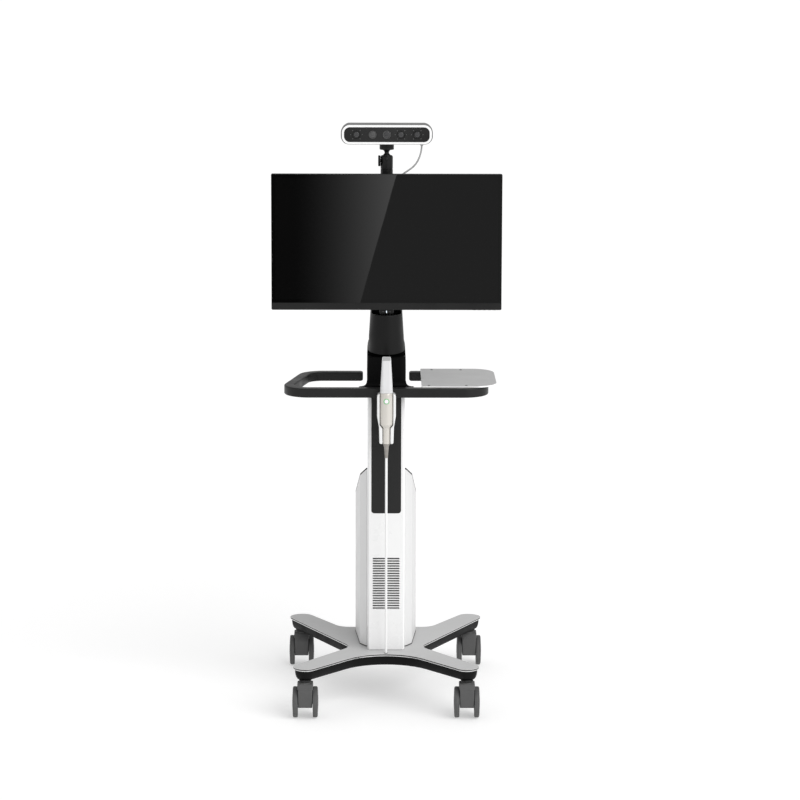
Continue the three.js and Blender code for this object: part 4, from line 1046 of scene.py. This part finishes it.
holder = loft("holder_body", [
    (-16.4, 634, 4), (16.4, 634, 4), (17.6, 674, 14), (22, 700, 24), (22, 753.5, 7),
    (-22, 753.5, 7), (-22, 700, 24), (-17.6, 674, 14)],
    soft(-144, -118.4, 2.6, 2.0, 5), "XZ", 12)
channel = loft("channel", [
    (-9.3, 600, 0), (9.3, 600, 0), (9.3, 671, 4), (15.7, 679, 4), (15.7, 790, 0),
    (-15.7, 790, 0), (-15.7, 679, 4), (-9.3, 671, 4)],
    [(-1.1, -150), (-1.1, -143.9), (-0.5, -143.5), (-0.1, -142.6), (0, -141.5), (0, -121.4)], "XZ", 8)
carve(holder, channel)
fused(holder, box("arm", -10, 10, 684, 728, -120.4, -88.6, 1.2, "XZ", radius=3))
dress(holder, cradle_white, "cart", "cradle", slot="cradle_white")
# Painted shade: a thin grey sheet at the back of the channel darkens the gap round the grip, where shade falls.
channel_shade_sheet = loft("holder_channel_shade", [
    (-8.9, 636, 1), (8.9, 636, 1), (8.9, 671, 4), (15.3, 679, 4), (15.3, 751.5, 1),
    (-15.3, 751.5, 1), (-15.3, 679, 4), (-8.9, 671, 4)], [(0.4, -121.5), (0.4, -121.35)], "XZ", 6)
dress(channel_shade_sheet, lead_grey, "cart")

GRIP_Y = -136.8
BUTTON_AXIS = (0, 0, 737)
GRIP_AXIS = (0, GRIP_Y, 0)
grip = lathe("grip", profile([(0, 634, 0), (8.2, 634, 0.8), (8.35, 640, 0), (8.7, 672, 2), (14.6, 680.5, 1),
    (15.2, 700, 60), (14.9, 745, 40), (13.7, 755, 1.6), (11, 755, 0), (11, 774.2, 1), (10.2, 775, 0),
    (0, 775, 0)], 8), GRIP_AXIS, steps=72)
seat = lathe("seat", [(5.4, GRIP_Y - 30), (5.4, GRIP_Y - 11.2)], BUTTON_AXIS, "Y", 40)
carve(grip, seat)
dress(grip, champagne, "handpiece", "handpiece_body", slot="handpiece_champagne")
collar = lathe("grip_collar", profile([(14.35, 749.8, 0), (15.0, 749.8, 0.2), (14.6, 753, 0.3),
    (13.9, 755.3, 0.3), (12.6, 755.3, 0), (12.6, 749.8, 0), (14.35, 749.8, 0)], 3), GRIP_AXIS, steps=72)
dress(collar, champagne, "handpiece")
button = lathe("press_button", profile([(0, GRIP_Y - 15.8, 0), (3.4, GRIP_Y - 15.75, 1.2),
    (4.7, GRIP_Y - 15.1, 0.4), (4.8, GRIP_Y - 12.4, 0), (0, GRIP_Y - 12.4, 0)], 4), BUTTON_AXIS, "Y", 48)
dress(button, button_pink, "button", "handpiece_button", slot="button_white")
button_ring = lathe("press_ring", profile([(4.95, GRIP_Y - 12.2, 0), (4.95, GRIP_Y - 15.2, 0),
    (5.3, GRIP_Y - 15.7, 0.2), (6.3, GRIP_Y - 15.6, 0.3), (6.8, GRIP_Y - 14.6, 0), (6.4, GRIP_Y - 12.6, 0),
    (4.95, GRIP_Y - 12.2, 0)], 3), BUTTON_AXIS, "Y", 56)
dress(button_ring, button_green, "handpiece")

tip_rings = []
for z, sink in [(755.8, 0.7), (756, 0.3), (756.7, 0), (768, 0), (780, 0), (795, 0), (810, 0), (823, 0),
        (831, 0), (836.6, 0.1), (838.8, 0.5), (839.4, 1.1), (839.6, 2)]:
    rise = (z - 755.8) / 86.2
    half_x = 15 * (1 - 0.33 * rise) - sink
    half_y = 13.4 * (1 - 0.3 * rise) - sink
    outline = rectangle(-half_x, half_x, -half_y, half_y, 9 * (1 - 0.55 * rise) - sink * 0.6)
    tip_rings.append([(p.x, p.y + GRIP_Y, z) for p in rounded(outline, 10)])
sleeve = skin("tip_sleeve", tip_rings)
bore = lathe("bore", [(11.6, 740), (11.6, 778)], GRIP_AXIS, steps=48)
mouth = loft("mouth", rectangle(-7.5, 7.5, 820, 834, 3), [(0, GRIP_Y + 2), (0, GRIP_Y + 8.2),
    (-0.7, GRIP_Y + 9.2), (-1.0, GRIP_Y + 15)], "XZ", 8)
facet = loft("facet", [(GRIP_Y - 12.7, 830.6, 0), (GRIP_Y + 2.5, 840.6, 0), (GRIP_Y + 4, 850, 0),
    (GRIP_Y - 20, 850, 0), (GRIP_Y - 20, 830.6, 0)], [(0, -20), (0, 20)], "YZ")
groove = band("groove", rectangle(-14, 14, GRIP_Y - 13.4, GRIP_Y + 13.4, 9.6),
    [(-1, 761.6), (0.75, 761.6), (0.75, 762.3), (-1, 762.3)], steps=10)
carve(sleeve, bore, mouth, groove, facet)
dress(sleeve, tip_white, "tip", "handpiece_tip", slot="tip_white")
mirror = box("tip_mirror", -6.9, 6.9, 820.7, 833.3, GRIP_Y + 2.3, GRIP_Y + 3.5, 0.3, "XZ", radius=2.4)
dress(mirror, mirror_pale, "tip")
# Painted shade: a grey patch on the tip's slanted top stands in for the shade at its rounded end under the neck
# cover.
patch = loft("tip_facet_shade", [(GRIP_Y - 9.6, 832.7, 0), (GRIP_Y + 0.4, 839.2, 0), (GRIP_Y + 0.2, 839.6, 0),
    (GRIP_Y - 9.9, 833.1, 0)], [(0.1, -8.6), (0, -8.4), (0, 8.4), (0.1, 8.6)], "YZ")
dress(patch, lead_grey, "tip")

boot_profile = [(3.2, 613.5), (3.2, 600.4), (3.4, 600), (3.6, 600)]
for i in range(6):
    z = 601.5 + i * 3.1
    r = 3.75 + 0.075 * (z - 600)
    boot_profile += [(r, z), (r + 0.12, z + 1.3), (r - 0.45, z + 1.5), (r - 0.45, z + 2.3),
        (r + 0.1, z + 2.6)]
boot_profile += [(5.35, 621.5), (5.5, 626), (6.2, 629), (7.9, 632.4), (8.0, 633.2), (7.6, 633.7), (0, 633.7)]
relief = lathe("boot", [(0, 613.5)] + boot_profile, GRIP_AXIS, steps=48)
dress(relief, boot_grey, "handpiece", "lead_boot", slot="boot_grey")

# ------------------------------------------------------------------ floor, light and studio cards


def stage_plane(name, corners):
    obj = mesh_from(name, [tuple(1000 * c for c in p) for p in corners], [(0, 1, 2, 3)])
    return obj


floor = stage_plane("floor", [(-80, -80, 0), (80, -80, 0), (80, 80, 0), (-80, 80, 0)])
paint = Nodes("floor_paint")
speckle = paint.noise(paint.place(), 0.02, 3)
floor.data.materials.append(paint.finish({
    "Base Color": paint.mix(speckle, (0.64, 0.64, 0.64, 1), (0.68, 0.68, 0.68, 1)), "Roughness": 0.7,
    "Specular IOR Level": 0.1, "Emission Color": (1, 1, 1, 1), "Emission Strength": 0.42}))

world = bpy.data.worlds.new("studio")
world.use_nodes = True
scene.world = world
world.node_tree.nodes["Background"].inputs["Color"].default_value = (1, 1, 1, 1)
world.node_tree.nodes["Background"].inputs["Strength"].default_value = 0.62

key = bpy.data.objects.new("key", bpy.data.lights.new("key", "SUN"))
key.data.energy = 1.75
key.data.angle = math.radians(50)
key.rotation_euler = Vector((0.55, -0.6, 0.58)).to_track_quat("Z", "Y").to_euler()
scene.collection.objects.link(key)

# A soft card, seen only in reflections, lies low in front of the cart for its screen to mirror.
card = stage_plane("reflection_card", [
    (-1.2, -4.0, 0.1), (1.2, -4.0, 0.1), (1.2, -4.0, 1.0), (-1.2, -4.0, 1.0)])
light = Nodes("card_glow")
across, _, upwards = light.add("SeparateXYZ", {0: light.add("TexCoord").outputs["Object"]}).outputs
rise = light.maths("SUBTRACT", upwards, 0.341)
slant = light.maths("SUBTRACT", across, light.maths("MULTIPLY", rise, 0.2806))
left = light.maths("LESS_THAN", slant, -0.076)
fade = light.maths("POWER", light.maths("DIVIDE", light.maths("ADD", across, 0.313), 0.354, clamp=True), 1.7)
bright = light.maths("MULTIPLY", left, light.maths("MULTIPLY", fade, 1.35))
glow = light.maths("ADD", bright, light.maths("MULTIPLY", light.maths("SUBTRACT", 1, left), 0.3))
emission = light.add("Emission", {"Strength": glow}).outputs[0]
light.put(light.tree.nodes["Material Output"].inputs["Surface"], emission)
card.data.materials.append(light.material)
card.visible_camera = False
card.visible_diffuse = False
card.visible_shadow = False
card.visible_transmission = False

scene.view_settings.view_transform = "Standard"
scene.view_settings.look = "None"
scene.view_settings.exposure = 0
scene.view_settings.gamma = 1
